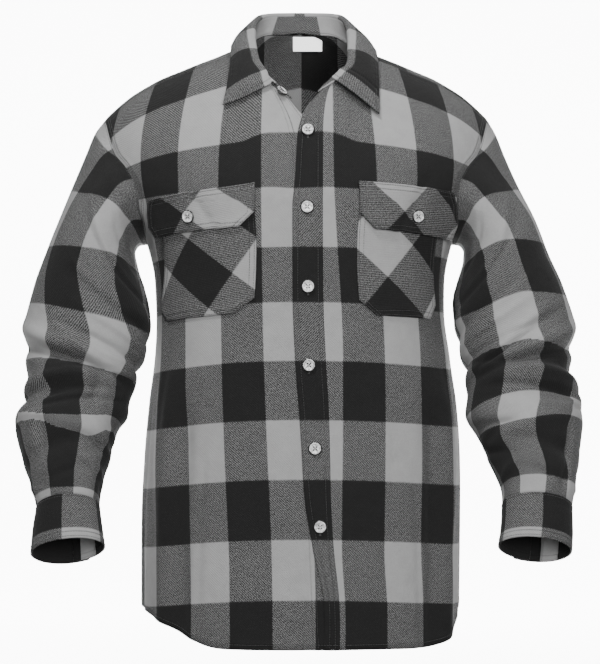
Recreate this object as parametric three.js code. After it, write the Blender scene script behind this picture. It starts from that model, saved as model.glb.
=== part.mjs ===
// A man's buffalo-check flannel shirt, filled out as if worn: open neck, cuffs and hem, and a hollow inside.
// Millimetres, +Z up, the front faces -Y, the wearer's left is +X. The origin lies between the shoulders
// at the height of the neck side points, where the wearer's shoulders carry the shirt.
import * as THREE from "three";

// Cloth walls and the gaps between sewn pieces
const CLOTH = 1.4;
const FOLDED = 2.0;
const SEAM = 0.45;
const LAYER = 0.7;
const POCKET_GAP = 1.2;
const NECK_GAP = 1.5;
const LEAF_CLEAR = 5;
const FLAP_GAP = 1.4;
const CUFF_GAP = 0.5;
const POCKET_LIFT = CLOTH + POCKET_GAP;
const FLAP_LIFT = POCKET_LIFT + CLOTH / 2 + FLAP_GAP + FOLDED / 2;

// The wearer's right front sinks beneath the left one over this distance from its band's seam
const UNDERLAP = -3.0;
const LAP = { from: 26, to: 4 };

// Rows and columns of the pieces: levels up a front or back to the underarm, then rows round the armhole's
// foot and up to the top seam, and columns across each stretch
const BODY_LEVELS = [0, 0.12, 0.24, 0.36, 0.48, 0.6, 0.68, 0.755, 0.82, 0.88, 0.94, 1];
const BODY_ROWS = BODY_LEVELS.length - 1;
const BOWL_ROWS = 4;
const BOWL_EASE = 0.4;
const FRONT_ARM_ROWS = 6;
const BACK_ARM_ROWS = 2;
const NECK_COLUMNS = 4;
const BAND_COLUMNS = 3;
const SHOULDER_COLUMNS = 8;
const YOKE_NECK_COLUMNS = 14;
const HALF_COLUMNS = SHOULDER_COLUMNS + YOKE_NECK_COLUMNS / 2;
const YOKE_ROWS = 8;
const STAND_ROWS = 2;
const LEAF_ROWS = 4;
const CUFF_ROWS = 4;
const CUFF_COLUMNS = 20;
const POCKET_ROWS = 9;
const FLAP_ROWS = 3;
const LEAST_SHARE = 0.03;

// Levels on the body: heights up to the chest line, then on over the shoulder to its ridge
const CHEST = -200;
const RIDGE = 40;
const UNDERARM = -250;
const ARMHOLE_FOOT = -170;
const YOKE_FRONT = 2;
const YOKE_BACK = -127;
const YOKE_DIP = { depth: 22, from: 0.03, to: 0.4 };
const TIP_REACH = 262;
const FRONT_BEND = { centre: 1.4, tip: 1.9 };
const BACK_BEND = 2.2;
const QUARTER = Math.PI / 2;
const DEGREE = Math.PI / 180;

// Small steps that slopes are measured over, and passes that a place is searched in
const STEP = 0.012;
const COLLAR_STEP = 0.01;
const LEVEL_PASSES = 8;
const CLEAR_PASSES = { still: 4, all: 6 };

// Half width, depth in front of and behind the shoulder line, and squareness of each level of the body, and
// the share by which the viewer's left stands wider than the right
const TORSO = [
  { level: -790, width: 205, front: 143, back: 120, square: 2.3, lean: 0 },
  { level: -600, width: 206, front: 143, back: 118, square: 2.3, lean: -0.006 },
  { level: -525, width: 204, front: 144, back: 116, square: 2.3, lean: -0.014 },
  { level: -460, width: 199, front: 145, back: 116, square: 2.3, lean: -0.018 },
  { level: -400, width: 191, front: 146, back: 117, square: 2.3, lean: -0.016 },
  { level: -340, width: 186, front: 148, back: 122, square: 2.3, lean: -0.002 },
  { level: -300, width: 187, front: 149, back: 127, square: 2.3, lean: 0.002 },
  { level: -250, width: 197, front: 149, back: 132, square: 2.3, lean: 0.004 },
  { level: -200, width: 222, front: 149, back: 134, square: 2.3, lean: 0.012 },
  { level: -130, width: 248, front: 149, back: 134, square: 2.25, lean: 0.02 },
  { level: -40, width: 259, front: 149, back: 134, square: 2.2, lean: 0.02 },
  { level: 40, width: 262, front: 149, back: 134, square: 2.2, lean: 0.02 },
];

// Height of the shoulder's ridge at each distance from the middle, level with the neck inside the neck hole
const SHOULDER = [
  { x: 0, z: 64 },
  { x: 40, z: 48 },
  { x: 58, z: 30 },
  { x: 75, z: 8 },
  { x: 100, z: -5 },
  { x: 128, z: -16 },
  { x: 152, z: -26 },
  { x: 176, z: -36 },
  { x: 196, z: -47 },
  { x: 212, z: -57 },
  { x: 226, z: -68 },
  { x: 237, z: -78 },
  { x: 246, z: -87 },
  { x: 262, z: -112 },
];

// Distance of the armhole seam from the middle at each level, on the front and on the back
const ARMHOLE = [
  { level: -250, front: 197, back: 197 },
  { level: -238, front: 198, back: 200 },
  { level: -220, front: 199, back: 204 },
  { level: -195, front: 201, back: 209 },
  { level: -170, front: 205, back: 215 },
  { level: -130, front: 221, back: 227 },
  { level: -105, front: 233, back: 236 },
  { level: -30, front: 244, back: 246 },
  { level: 40, front: 249, back: 249 },
];

// The front bands stand on this level and are this high
const BAND_FOOT = -761;
const BAND_RISE = 661;

// The wearer's left front band: its free edge and its seam, from the hem up to the neck
const LEFT_BAND = [
  { place: 0, freeX: 31, freeLevel: -761, seamX: 50, seamLevel: -761 },
  { place: 0.1, freeX: 30, freeLevel: -695, seamX: 48.7, seamLevel: -695 },
  { place: 0.155, freeX: 26, freeLevel: -658, seamX: 46, seamLevel: -658 },
  { place: 0.21, freeX: 11.5, freeLevel: -623, seamX: 40, seamLevel: -623 },
  { place: 0.32, freeX: 5, freeLevel: -548, seamX: 38, seamLevel: -548 },
  { place: 0.44, freeX: 0, freeLevel: -470, seamX: 36.2, seamLevel: -470 },
  { place: 0.54, freeX: -5, freeLevel: -405, seamX: 32.4, seamLevel: -405 },
  { place: 0.68, freeX: -8.7, freeLevel: -307, seamX: 28.7, seamLevel: -307 },
  { place: 0.82, freeX: -8.7, freeLevel: -208, seamX: 28.3, seamLevel: -208 },
  { place: 0.88, freeX: -5.5, freeLevel: -165, seamX: 28.5, seamLevel: -165 },
  { place: 0.93, freeX: -1.5, freeLevel: -124, seamX: 28.9, seamLevel: -122 },
  { place: 0.96, freeX: 9, freeLevel: -106, seamX: 33, seamLevel: -98 },
  { place: 1, freeX: 25, freeLevel: -93, seamX: 56, seamLevel: -57 },
];

// The band under it on the wearer's right front
const RIGHT_BAND = [
  { place: 0, freeX: 46, freeLevel: -761, seamX: 17, seamLevel: -761 },
  { place: 0.15, freeX: 43, freeLevel: -660, seamX: 13, seamLevel: -660 },
  { place: 0.23, freeX: 40, freeLevel: -607, seamX: 10, seamLevel: -607 },
  { place: 0.38, freeX: 33.7, freeLevel: -509, seamX: 3.7, seamLevel: -509 },
  { place: 0.54, freeX: 26, freeLevel: -405, seamX: -4, seamLevel: -405 },
  { place: 0.68, freeX: 25, freeLevel: -307, seamX: -5, seamLevel: -307 },
  { place: 0.82, freeX: 24, freeLevel: -208, seamX: -6, seamLevel: -208 },
  { place: 0.9, freeX: 22, freeLevel: -152, seamX: -9, seamLevel: -150 },
  { place: 0.94, freeX: 15, freeLevel: -126, seamX: -15, seamLevel: -122 },
  { place: 0.97, freeX: 0, freeLevel: -111, seamX: -27, seamLevel: -101 },
  { place: 1, freeX: -12.6, freeLevel: -100, seamX: -42, seamLevel: -80 },
];

// The shirt tail: height of the hem at each angle from the middle towards a side
const HEM = [
  { angle: 0, left: -761, right: -761, back: -772 },
  { angle: 24, left: -761, right: -761, back: -772 },
  { angle: 38, left: -762, right: -752, back: -768 },
  { angle: 50, left: -762, right: -737, back: -756 },
  { angle: 62, left: -756, right: -727, back: -741 },
  { angle: 76, left: -734, right: -720, back: -727 },
  { angle: 90, left: -714, right: -714, back: -714 },
];

// The collar, from the right front's end round the back to the left front's end. The seam and the leaf's
// edge lie on the body: over is the distance over the shoulder's ridge, forward of it positive.
const COLLAR = [
  { place: 0, seamX: -12.6, over: 140, foldX: -35, foldY: -100, foldZ: -45, edgeX: -96, edgeOver: 127, lift: 7 },
  { place: 0.07, seamX: -42, over: 120, foldX: -47, foldY: -80, foldZ: -31, edgeX: -91, edgeOver: 104, lift: 6 },
  { place: 0.14, seamX: -70, over: 90, foldX: -53, foldY: -52, foldZ: -10, edgeX: -87, edgeOver: 70, lift: 7 },
  { place: 0.21, seamX: -78, over: 38, foldX: -56, foldY: -18, foldZ: 15, edgeX: -86, edgeOver: 28, lift: 7 },
  { place: 0.28, seamX: -78, over: 0, foldX: -56, foldY: 10, foldZ: 34, edgeX: -86, edgeOver: -4, lift: 6 },
  { place: 0.35, seamX: -69, over: -30, foldX: -52, foldY: 38, foldZ: 49, edgeX: -84, edgeOver: -40, lift: 5 },
  { place: 0.42, seamX: -45, over: -62, foldX: -33, foldY: 63, foldZ: 58, edgeX: -56, edgeOver: -80, lift: 7 },
  { place: 0.5, seamX: 0, over: -81, foldX: 0, foldY: 72, foldZ: 60, edgeX: 0, edgeOver: -99, lift: 9 },
  { place: 0.58, seamX: 45, over: -62, foldX: 34, foldY: 63, foldZ: 58, edgeX: 58, edgeOver: -80, lift: 7 },
  { place: 0.65, seamX: 69, over: -30, foldX: 54, foldY: 38, foldZ: 49, edgeX: 89, edgeOver: -40, lift: 5 },
  { place: 0.72, seamX: 78, over: 0, foldX: 59, foldY: 10, foldZ: 33, edgeX: 94, edgeOver: -4, lift: 6 },
  { place: 0.79, seamX: 78, over: 38, foldX: 60, foldY: -18, foldZ: 13, edgeX: 96, edgeOver: 28, lift: 7 },
  { place: 0.86, seamX: 72, over: 82, foldX: 60, foldY: -52, foldZ: -12, edgeX: 98, edgeOver: 75, lift: 7 },
  { place: 0.93, seamX: 49, over: 111, foldX: 56, foldY: -78, foldZ: -31, edgeX: 99, edgeOver: 110, lift: 6 },
  { place: 1, seamX: 25, over: 133, foldX: 45, foldY: -99, foldZ: -46, edgeX: 99, edgeOver: 137, lift: 7 },
];
const COLLAR_ROLL = [
  { rise: 0.5, out: 0 },
  { rise: 3.2, out: 0.5 },
  { rise: 4.9, out: 2.9 },
  { rise: 3.9, out: 6.2 },
];
const ROLL_HEIGHT = 5.9;
const LEAF_BOW = 5;

// One row for each ring of a sleeve: its outer and inner ends seen from the front, how far forward its
// middle lies, its half depth, how far its plane tips to the front, and how far it turns about the arm
const RIGHT_SLEEVE = [
  { along: 0, outX: 251, outZ: -93, inX: 197, inZ: -250, midY: 0, depth: 84, tip: 0, turn: 0 },
  { along: 16, outX: 263, outZ: -108, inX: 207, inZ: -252, midY: -3, depth: 84, tip: 0, turn: 3 },
  { along: 40, outX: 275, outZ: -134, inX: 213, inZ: -263, midY: -7, depth: 83, tip: 0, turn: 6 },
  { along: 75, outX: 293, outZ: -176, inX: 210, inZ: -283, midY: -12, depth: 80, tip: 2, turn: 10 },
  { along: 115, outX: 309, outZ: -218, inX: 203, inZ: -305, midY: -18, depth: 77, tip: 4, turn: 14 },
  { along: 155, outX: 326, outZ: -260, inX: 196, inZ: -328, midY: -24, depth: 74, tip: 6, turn: 16 },
  { along: 200, outX: 343, outZ: -306, inX: 192, inZ: -356, midY: -29, depth: 72, tip: 8, turn: 14 },
  { along: 240, outX: 352, outZ: -348, inX: 196, inZ: -384, midY: -34, depth: 70, tip: 10, turn: 10 },
  { along: 280, outX: 353, outZ: -388, inX: 205, inZ: -411, midY: -41, depth: 68, tip: 13, turn: 6 },
  { along: 318, outX: 347, outZ: -424, inX: 213, inZ: -438, midY: -50, depth: 66, tip: 17, turn: 3 },
  { along: 345, outX: 345, outZ: -452, inX: 221, inZ: -460, midY: -58, depth: 64, tip: 21, turn: 0 },
  { along: 368, outX: 363, outZ: -474, inX: 229, inZ: -480, midY: -66, depth: 62, tip: 24, turn: 0 },
  { along: 400, outX: 358, outZ: -504, inX: 238, inZ: -508, midY: -79, depth: 57, tip: 26, turn: 0 },
  { along: 436, outX: 348, outZ: -539, inX: 247, inZ: -541, midY: -93, depth: 50, tip: 27, turn: 0 },
  { along: 468, outX: 335, outZ: -571, inX: 252, inZ: -569, midY: -105, depth: 43, tip: 28, turn: 0 },
  { along: 484, outX: 331, outZ: -586, inX: 253, inZ: -582, midY: -111, depth: 39, tip: 29, turn: 0 },
];
const LEFT_SLEEVE = [
  { along: 0, outX: 247, outZ: -93, inX: 197, inZ: -250, midY: 0, depth: 84, tip: 0, turn: 0 },
  { along: 16, outX: 257, outZ: -110, inX: 207, inZ: -252, midY: -3, depth: 84, tip: 0, turn: 3 },
  { along: 40, outX: 268, outZ: -138, inX: 213, inZ: -263, midY: -7, depth: 83, tip: 0, turn: 6 },
  { along: 75, outX: 284, outZ: -178, inX: 210, inZ: -283, midY: -12, depth: 80, tip: 2, turn: 10 },
  { along: 115, outX: 303, outZ: -222, inX: 203, inZ: -305, midY: -18, depth: 77, tip: 4, turn: 14 },
  { along: 155, outX: 319, outZ: -264, inX: 198, inZ: -328, midY: -24, depth: 74, tip: 6, turn: 14 },
  { along: 200, outX: 339, outZ: -308, inX: 199, inZ: -354, midY: -29, depth: 72, tip: 8, turn: 12 },
  { along: 240, outX: 350, outZ: -348, inX: 204, inZ: -382, midY: -34, depth: 70, tip: 10, turn: 8 },
  { along: 280, outX: 350, outZ: -388, inX: 210, inZ: -409, midY: -41, depth: 68, tip: 13, turn: 6 },
  { along: 318, outX: 343, outZ: -420, inX: 213, inZ: -434, midY: -50, depth: 66, tip: 17, turn: 3 },
  { along: 345, outX: 351, outZ: -445, inX: 214, inZ: -458, midY: -58, depth: 64, tip: 21, turn: 0 },
  { along: 368, outX: 361, outZ: -468, inX: 219, inZ: -482, midY: -66, depth: 62, tip: 24, turn: 0 },
  { along: 400, outX: 357, outZ: -500, inX: 233, inZ: -508, midY: -79, depth: 57, tip: 26, turn: 0 },
  { along: 436, outX: 353, outZ: -535, inX: 247, inZ: -541, midY: -93, depth: 50, tip: 27, turn: 0 },
  { along: 468, outX: 345, outZ: -569, inX: 255, inZ: -567, midY: -105, depth: 43, tip: 28, turn: 0 },
  { along: 484, outX: 342, outZ: -584, inX: 255, inZ: -580, midY: -111, depth: 39, tip: 29, turn: 0 },
];

// Length of a sleeve and its rings, how evenly they stand, and where its cap and folds fade
const SLEEVE_LENGTH = 484;
const SLEEVE_RINGS = 27;
const RING_EVENNESS = 0.65;
const CAP_FADE = { length: 150, power: 1.5 };
const FOLD_SETTLE = { from: 20, to: 90, end: 25 };

// Cuff rings below the sleeve, in the same columns
const RIGHT_CUFF = [
  { along: 0, outX: 331, outZ: -586, inX: 253, inZ: -582, midY: -111, depth: 39, tip: 29, turn: 0 },
  { along: 30, outX: 335, outZ: -614, inX: 249, inZ: -608, midY: -119, depth: 37, tip: 29, turn: 0 },
  { along: 62, outX: 337, outZ: -643, inX: 245, inZ: -633, midY: -126, depth: 35, tip: 30, turn: 0 },
];
const LEFT_CUFF = [
  { along: 0, outX: 342, outZ: -584, inX: 255, inZ: -580, midY: -111, depth: 39, tip: 29, turn: 0 },
  { along: 30, outX: 342, outZ: -614, inX: 253, inZ: -608, midY: -119, depth: 37, tip: 29, turn: 0 },
  { along: 62, outX: 340, outZ: -640, inX: 249, inZ: -632, midY: -126, depth: 35, tip: 30, turn: 0 },
];
const CUFF_START = -96;
const CUFF_OVERLAP = 24;
const CUFF_STEP = { height: 2.8, from: 0.72, to: 0.93 };

// The largest folds of a sleeve: a soft ridge or trough across the arm, lying on a slant
const SLEEVE_FOLDS = [
  { along: 268, angle: 60, slant: 26, reach: 70, width: 13, height: 7 },
  { along: 296, angle: 70, slant: 22, reach: 80, width: 10, height: -9 },
  { along: 330, angle: 40, slant: -20, reach: 80, width: 12, height: 9 },
  { along: 352, angle: 60, slant: -14, reach: 70, width: 9, height: -8 },
  { along: 400, angle: 110, slant: 18, reach: 70, width: 12, height: 5 },
  { along: 428, angle: 60, slant: -16, reach: 60, width: 11, height: -5 },
  { along: 210, angle: 150, slant: 30, reach: 60, width: 13, height: -5 },
  { along: 300, angle: 230, slant: 24, reach: 80, width: 12, height: -8 },
  { along: 340, angle: 250, slant: -20, reach: 80, width: 12, height: 7 },
  { along: 400, angle: 280, slant: 16, reach: 70, width: 12, height: -5 },
];

// The largest folds of the body: soft upright ridges and troughs, their angle counted from the front
const BODY_FOLDS = [
  { angle: -44, top: -420, low: -700, width: 5, height: -5 },
  { angle: -56, top: -380, low: -740, width: 5, height: 5 },
  { angle: 52, top: -420, low: -720, width: 5, height: -5 },
  { angle: 64, top: -400, low: -760, width: 5, height: 5 },
  { angle: -152, top: -240, low: -700, width: 6, height: 6 },
  { angle: 158, top: -260, low: -720, width: 6, height: 6 },
  { angle: 128, top: -300, low: -740, width: 6, height: -6 },
  { angle: -124, top: -320, low: -720, width: 6, height: -5 },
];
const FOLD_FADE = 90;

// Pockets and flaps, in distances from the middle and heights of their corners
const POCKETS = [
  { side: -1, inX: 57.5, outTopX: 182, outLowX: 176, inTop: -184, outTop: -197, inLow: -339, outLow: -352 },
  { side: 1, inX: 75, outTopX: 186, outLowX: 172, inTop: -180, outTop: -188, inLow: -342, outLow: -348 },
];
const FLAPS = [
  { side: -1, inX: 56, outTopX: 187, outLowX: 186, inTop: -179, outTop: -197, inLow: -231, outLow: -243 },
  { side: 1, inX: 73, outTopX: 190, outLowX: 191, inTop: -177, outTop: -187, inLow: -233, outLow: -247 },
];
const POCKET_CLIP = { width: 0.15, height: 0.11 };
const FLAP_CLIP = { width: 0.1, height: 0.3 };

// Buttons
const BUTTON = { radius: 7.2, back: 6.6, rim: 6.2, dish: 4.6, height: 2.7, floor: 2.1, sides: 14 };
const BUTTON_SHANK = 0.4;
const FRONT_BUTTONS = [
  { x: 10, z: -111 },
  { x: 9, z: -208 },
  { x: 10, z: -307 },
  { x: 11, z: -405 },
  { x: 18.7, z: -509 },
  { x: 25, z: -607 },
];
const POCKET_BUTTONS = [
  { side: -1, x: -137, z: -218 },
  { side: 1, x: 145, z: -218 },
];

const NECK_BUTTON = { place: 0.021, height: 0.57, gap: 3 };
const CUFF_BUTTON_PLACE = 0.95;

// The strip over a sleeve's slit: where it starts round the back, its columns and its rings above the cuff
const SLIT = { angle: 84, columns: 3, rings: 8 };

// Blank neck label on the inside of the yoke
const LABEL = { place: 0.5, left: -9, right: 29, drop: 2, height: 21, thick: 0.8, rows: 2, columns: 3 };

// Plain colours of the solids
const SHADES = {
  front: 0x6e6e6e,
  placket: 0x3a3a3a,
  buttonBand: 0x4a4a4a,
  back: 0x6a6a6a,
  yoke: 0x787878,
  stand: 0x606060,
  leaf: 0x4c4c4c,
  sleeve: 0x707070,
  slit: 0x5a5a5a,
  cuff: 0x444444,
  pocket: 0x5c5c5c,
  flap: 0x7a7a7a,
  button: 0xe9e8e2,
  label: 0xf4f4f2,
};

const flannel = (colour) => new THREE.MeshStandardMaterial({ color: colour, roughness: 0.95, metalness: 0 });
const pearl = () => new THREE.MeshStandardMaterial({ color: SHADES.button, roughness: 0.25, metalness: 0 });

// A smooth reading of one column of a table, without overshoot, held level past its ends
function reader(table, key, column) {
  const at = table.map((row) => row[key]);
  const values = table.map((row) => row[column]);
  const rates = at.slice(1).map((x, i) => (values[i + 1] - values[i]) / (x - at[i]));
  const slopes = at.map((_, i) => {
    const before = rates[i - 1];
    const after = rates[i];
    if (before === undefined) return after;
    if (after === undefined) return before;
    return before * after <= 0 ? 0 : (2 * before * after) / (before + after);
  });
  return (x) => {
    if (x <= at[0]) return values[0];
    if (x >= at[at.length - 1]) return values[values.length - 1];
    const i = at.findIndex((limit) => limit > x) - 1;
    const span = at[i + 1] - at[i];
    const t = (x - at[i]) / span;
    const u = 1 - t;
    return (
      values[i] * (1 + 2 * t) * u * u +
      values[i + 1] * (3 - 2 * t) * t * t +
      span * t * u * (slopes[i] * u - slopes[i + 1] * t)
    );
  };
}

// Readers of every column of a table but its key
function readers(table, key) {
  const columns = Object.keys(table[0]).filter((column) => column !== key);
  return Object.fromEntries(columns.map((column) => [column, reader(table, key, column)]));
}

const torso = readers(TORSO, "level");
const shoulderZ = reader(SHOULDER, "x", "z");
const armhole = readers(ARMHOLE, "level");
const hem = readers(HEM, "angle");
const collar = readers(COLLAR, "place");
const leftBand = readers(LEFT_BAND, "place");
const rightBand = readers(RIGHT_BAND, "place");

const mix = (a, b, t) => a + (b - a) * t;
const steps = (count) => Array.from({ length: count + 1 }, (_, i) => i / count);
const vector = (x, y, z) => new THREE.Vector3(x, y, z);
const smooth = (value, from, to) => THREE.MathUtils.smoothstep(value, Math.min(from, to), Math.max(from, to));
const bell = (distance) => Math.exp(-distance * distance);

// How much wider or narrower the body stands on one side
function lean(side, level) {
  return 1 - side * torso.lean(level);
}

// Height of the body's folds at a place, the angle in degrees counted from the front
function bodyFold(angle, level) {
  return BODY_FOLDS.reduce((sum, fold) => {
    const above = smooth(level, fold.low - FOLD_FADE, fold.low);
    const below = 1 - smooth(level, fold.top - FOLD_FADE, fold.top);
    return sum + fold.height * above * below * bell((angle - fold.angle) / fold.width);
  }, 0);
}

// A point on the body: turn is the angle from the middle, positive to the wearer's left
function bodyPoint(turn, level, back) {
  if (level > RIDGE) return bodyPoint(turn, 2 * RIDGE - level, !back);
  const side = turn < 0 ? -1 : 1;
  const angle = Math.abs(turn);
  if (angle > QUARTER) return bodyPoint(side * (Math.PI - angle), level, !back);
  const power = 2 / torso.square(level);
  const reach = Math.sin(angle) ** power;
  const deep = Math.max(Math.cos(angle), 0) ** power;
  const degrees = (back ? Math.PI - angle : angle) / DEGREE;
  const fold = bodyFold(side * degrees, level);
  const x = side * reach * (torso.width(level) * lean(side, level) + fold);
  const depth = deep * (back ? torso.back(level) + fold : -torso.front(level) - fold);
  if (level <= CHEST) return vector(x, depth, level);
  const theta = ((level - CHEST) / (RIDGE - CHEST)) * QUARTER;
  const bend = back ? BACK_BEND : mix(FRONT_BEND.centre, FRONT_BEND.tip, reach);
  const rise = Math.sin(theta) ** (2 / bend);
  const fall = Math.max(Math.cos(theta), 0) ** (2 / bend);
  return vector(x, depth * fall, mix(CHEST, shoulderZ(TIP_REACH * reach), rise));
}

// The point with its outward normal, moved out by lift
function bodyFrame(place, lift = 0) {
  const { turn, level, back } = place;
  const across = bodyPoint(turn + STEP, level, back).sub(bodyPoint(turn - STEP, level, back));
  const up = bodyPoint(turn, level + 1, back).sub(bodyPoint(turn, level - 1, back));
  const normal = across.cross(up).normalize();
  if (back) normal.negate();
  return { point: bodyPoint(turn, level, back).addScaledVector(normal, lift), normal };
}

// The angle at which the body is as wide as x at a level
function turnAt(x, level) {
  const side = x < 0 ? -1 : 1;
  const reach = Math.min(Math.abs(x) / (torso.width(level) * lean(side, level)), 1);
  return side * Math.asin(reach ** (torso.square(level) / 2));
}

// The place at distance over from the shoulder's ridge, forward positive
function placeOver(x, over) {
  const level = RIDGE - Math.abs(over);
  return { turn: turnAt(x, level), level, back: over < 0 };
}

// The place on the front seen at x and z
function placeOnFront(x, z) {
  let level = z;
  for (let pass = 0; pass < LEVEL_PASSES && z > CHEST; pass += 1) {
    const reach = Math.sin(Math.abs(turnAt(x, level))) ** (2 / torso.square(level));
    const bend = mix(FRONT_BEND.centre, FRONT_BEND.tip, reach);
    const rise = (z - CHEST) / (shoulderZ(TIP_REACH * reach) - CHEST);
    level = CHEST + (Math.asin(Math.min(rise, 1) ** (bend / 2)) / QUARTER) * (RIDGE - CHEST);
  }
  return { turn: turnAt(x, level), level, back: false };
}

// Moves each edge of a grid in from the seam, half a gap on each piece
function trim(grid, edges) {
  const rows = grid.length;
  const columns = grid[0].length;
  const pull = (cell, next) => {
    const way = next.point.clone().sub(cell.point);
    cell.point.addScaledVector(way.normalize(), SEAM / 2);
  };
  if (edges.low) grid[0].forEach((cell, j) => pull(cell, grid[1][j]));
  if (edges.high) grid[rows - 1].forEach((cell, j) => pull(cell, grid[rows - 2][j]));
  if (edges.first) grid.forEach((row) => pull(row[0], row[1]));
  if (edges.last) grid.forEach((row) => pull(row[columns - 1], row[columns - 2]));
  return grid;
}

// A closed wall of even thickness on both sides of a grid of points with normals
function wall(name, grid, thickness, material, round = false) {
  const rows = grid.length;
  const columns = grid[0].length;
  const positions = [];
  [thickness / 2, -thickness / 2].forEach((offset) => {
    grid.flat().forEach(({ point, normal }) => {
      positions.push(...point.clone().addScaledVector(normal, offset).toArray());
    });
  });
  const outer = (i, j) => i * columns + (j % columns);
  const inner = (i, j) => rows * columns + outer(i, j);
  const faces = [];
  const quad = (a, b, c, d) => faces.push(a, b, c, a, c, d);
  const spans = round ? columns : columns - 1;
  for (let i = 0; i < rows - 1; i += 1) {
    for (let j = 0; j < spans; j += 1) {
      quad(outer(i, j), outer(i, j + 1), outer(i + 1, j + 1), outer(i + 1, j));
      quad(inner(i, j), inner(i + 1, j), inner(i + 1, j + 1), inner(i, j + 1));
    }
    if (!round) {
      quad(outer(i, 0), outer(i + 1, 0), inner(i + 1, 0), inner(i, 0));
      quad(outer(i + 1, spans), outer(i, spans), inner(i, spans), inner(i + 1, spans));
    }
  }
  for (let j = 0; j < spans; j += 1) {
    quad(outer(0, j + 1), outer(0, j), inner(0, j), inner(0, j + 1));
    quad(outer(rows - 1, j), outer(rows - 1, j + 1), inner(rows - 1, j + 1), inner(rows - 1, j));
  }
  return solid(name, positions, faces, material);
}

// A named mesh whose faces point out
function solid(name, positions, faces, material) {
  const corner = (index) => vector(...positions.slice(index * 3, index * 3 + 3));
  let volume = 0;
  for (let i = 0; i < faces.length; i += 3) {
    const [a, b, c] = [corner(faces[i]), corner(faces[i + 1]), corner(faces[i + 2])];
    volume += a.dot(b.cross(c));
  }
  if (volume < 0) faces.reverse();
  const geometry = new THREE.BufferGeometry();
  geometry.setAttribute("position", new THREE.Float32BufferAttribute(positions, 3));
  geometry.setIndex(faces);
  geometry.computeVertexNormals();
  const mesh = new THREE.Mesh(geometry, material);
  mesh.name = name;
  return mesh;
}

// Levels of the armhole's rows from the underarm up to the top seam
function armLevels(top, count) {
  const bowl = steps(BOWL_ROWS).map((t) => mix(UNDERARM, ARMHOLE_FOOT, t * mix(BOWL_EASE, 1, t)));
  const rest = steps(count).slice(1).map((t) => mix(ARMHOLE_FOOT, top, t));
  return [...bowl, ...rest];
}

// Distances over the ridge of the yoke's rows at the armhole, from the front seam to the back seam
const yokeOvers = steps(YOKE_ROWS).map((t) => mix(RIDGE - YOKE_FRONT, YOKE_BACK - RIDGE, t));

// The armhole seam's places on one side, from the underarm up the front, over, and down the back
function armholePlaces(side) {
  const place = (level, rear) => {
    const x = (rear ? armhole.back(level) : armhole.front(level)) * lean(side, level);
    return { turn: level === UNDERARM ? side * QUARTER : turnAt(side * x, level), level, back: rear };
  };
  return {
    front: armLevels(YOKE_FRONT, FRONT_ARM_ROWS).map((level) => place(level, false)),
    over: yokeOvers.slice(1, -1).map((distance) => place(RIDGE - Math.abs(distance), distance < 0)),
    back: armLevels(YOKE_BACK, BACK_ARM_ROWS).map((level) => place(level, true)),
  };
}

const armholes = new Map([-1, 1].map((side) => [side, armholePlaces(side)]));

// The raw rings of a sleeve or cuff, without the cap
function ringPoint(table, side, along, angle) {
  const out = vector(side * table.outX(along), 0, table.outZ(along));
  const inn = vector(side * table.inX(along), 0, table.inZ(along));
  const middle = out.clone().add(inn).multiplyScalar(0.5).setY(table.midY(along));
  const half = out.distanceTo(inn) / 2;
  const tip = table.tip(along) * DEGREE;
  const twist = table.turn(along) * DEGREE;
  const outward = out.clone().sub(inn).normalize();
  const rear = vector(0, Math.cos(tip), -Math.sin(tip));
  const axisOut = outward.clone().multiplyScalar(Math.cos(twist)).addScaledVector(rear, Math.sin(twist));
  const axisFront = outward.clone().multiplyScalar(Math.sin(twist)).addScaledVector(rear, -Math.cos(twist));
  return middle
    .addScaledVector(axisOut, half * Math.cos(angle))
    .addScaledVector(axisFront, table.depth(along) * Math.sin(angle));
}

// Height of a sleeve's folds, the angle in degrees from its outer line through the front
function sleeveFold(along, degrees) {
  return SLEEVE_FOLDS.reduce((sum, fold) => {
    const off = ((degrees - fold.angle + 540) % 360) - 180;
    const across = (along - fold.along - (off / fold.reach) * fold.slant) / fold.width;
    return sum + fold.height * bell(across) * bell(off / fold.reach);
  }, 0);
}

const sleeveTables = new Map([
  [-1, readers(RIGHT_SLEEVE, "along")],
  [1, readers(LEFT_SLEEVE, "along")],
]);

// Distances down the sleeve of its rings, closer at the cap
function ringPlaces() {
  return steps(SLEEVE_RINGS).map((t) => SLEEVE_LENGTH * (RING_EVENNESS * t + (1 - RING_EVENNESS) * t * t));
}

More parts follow.
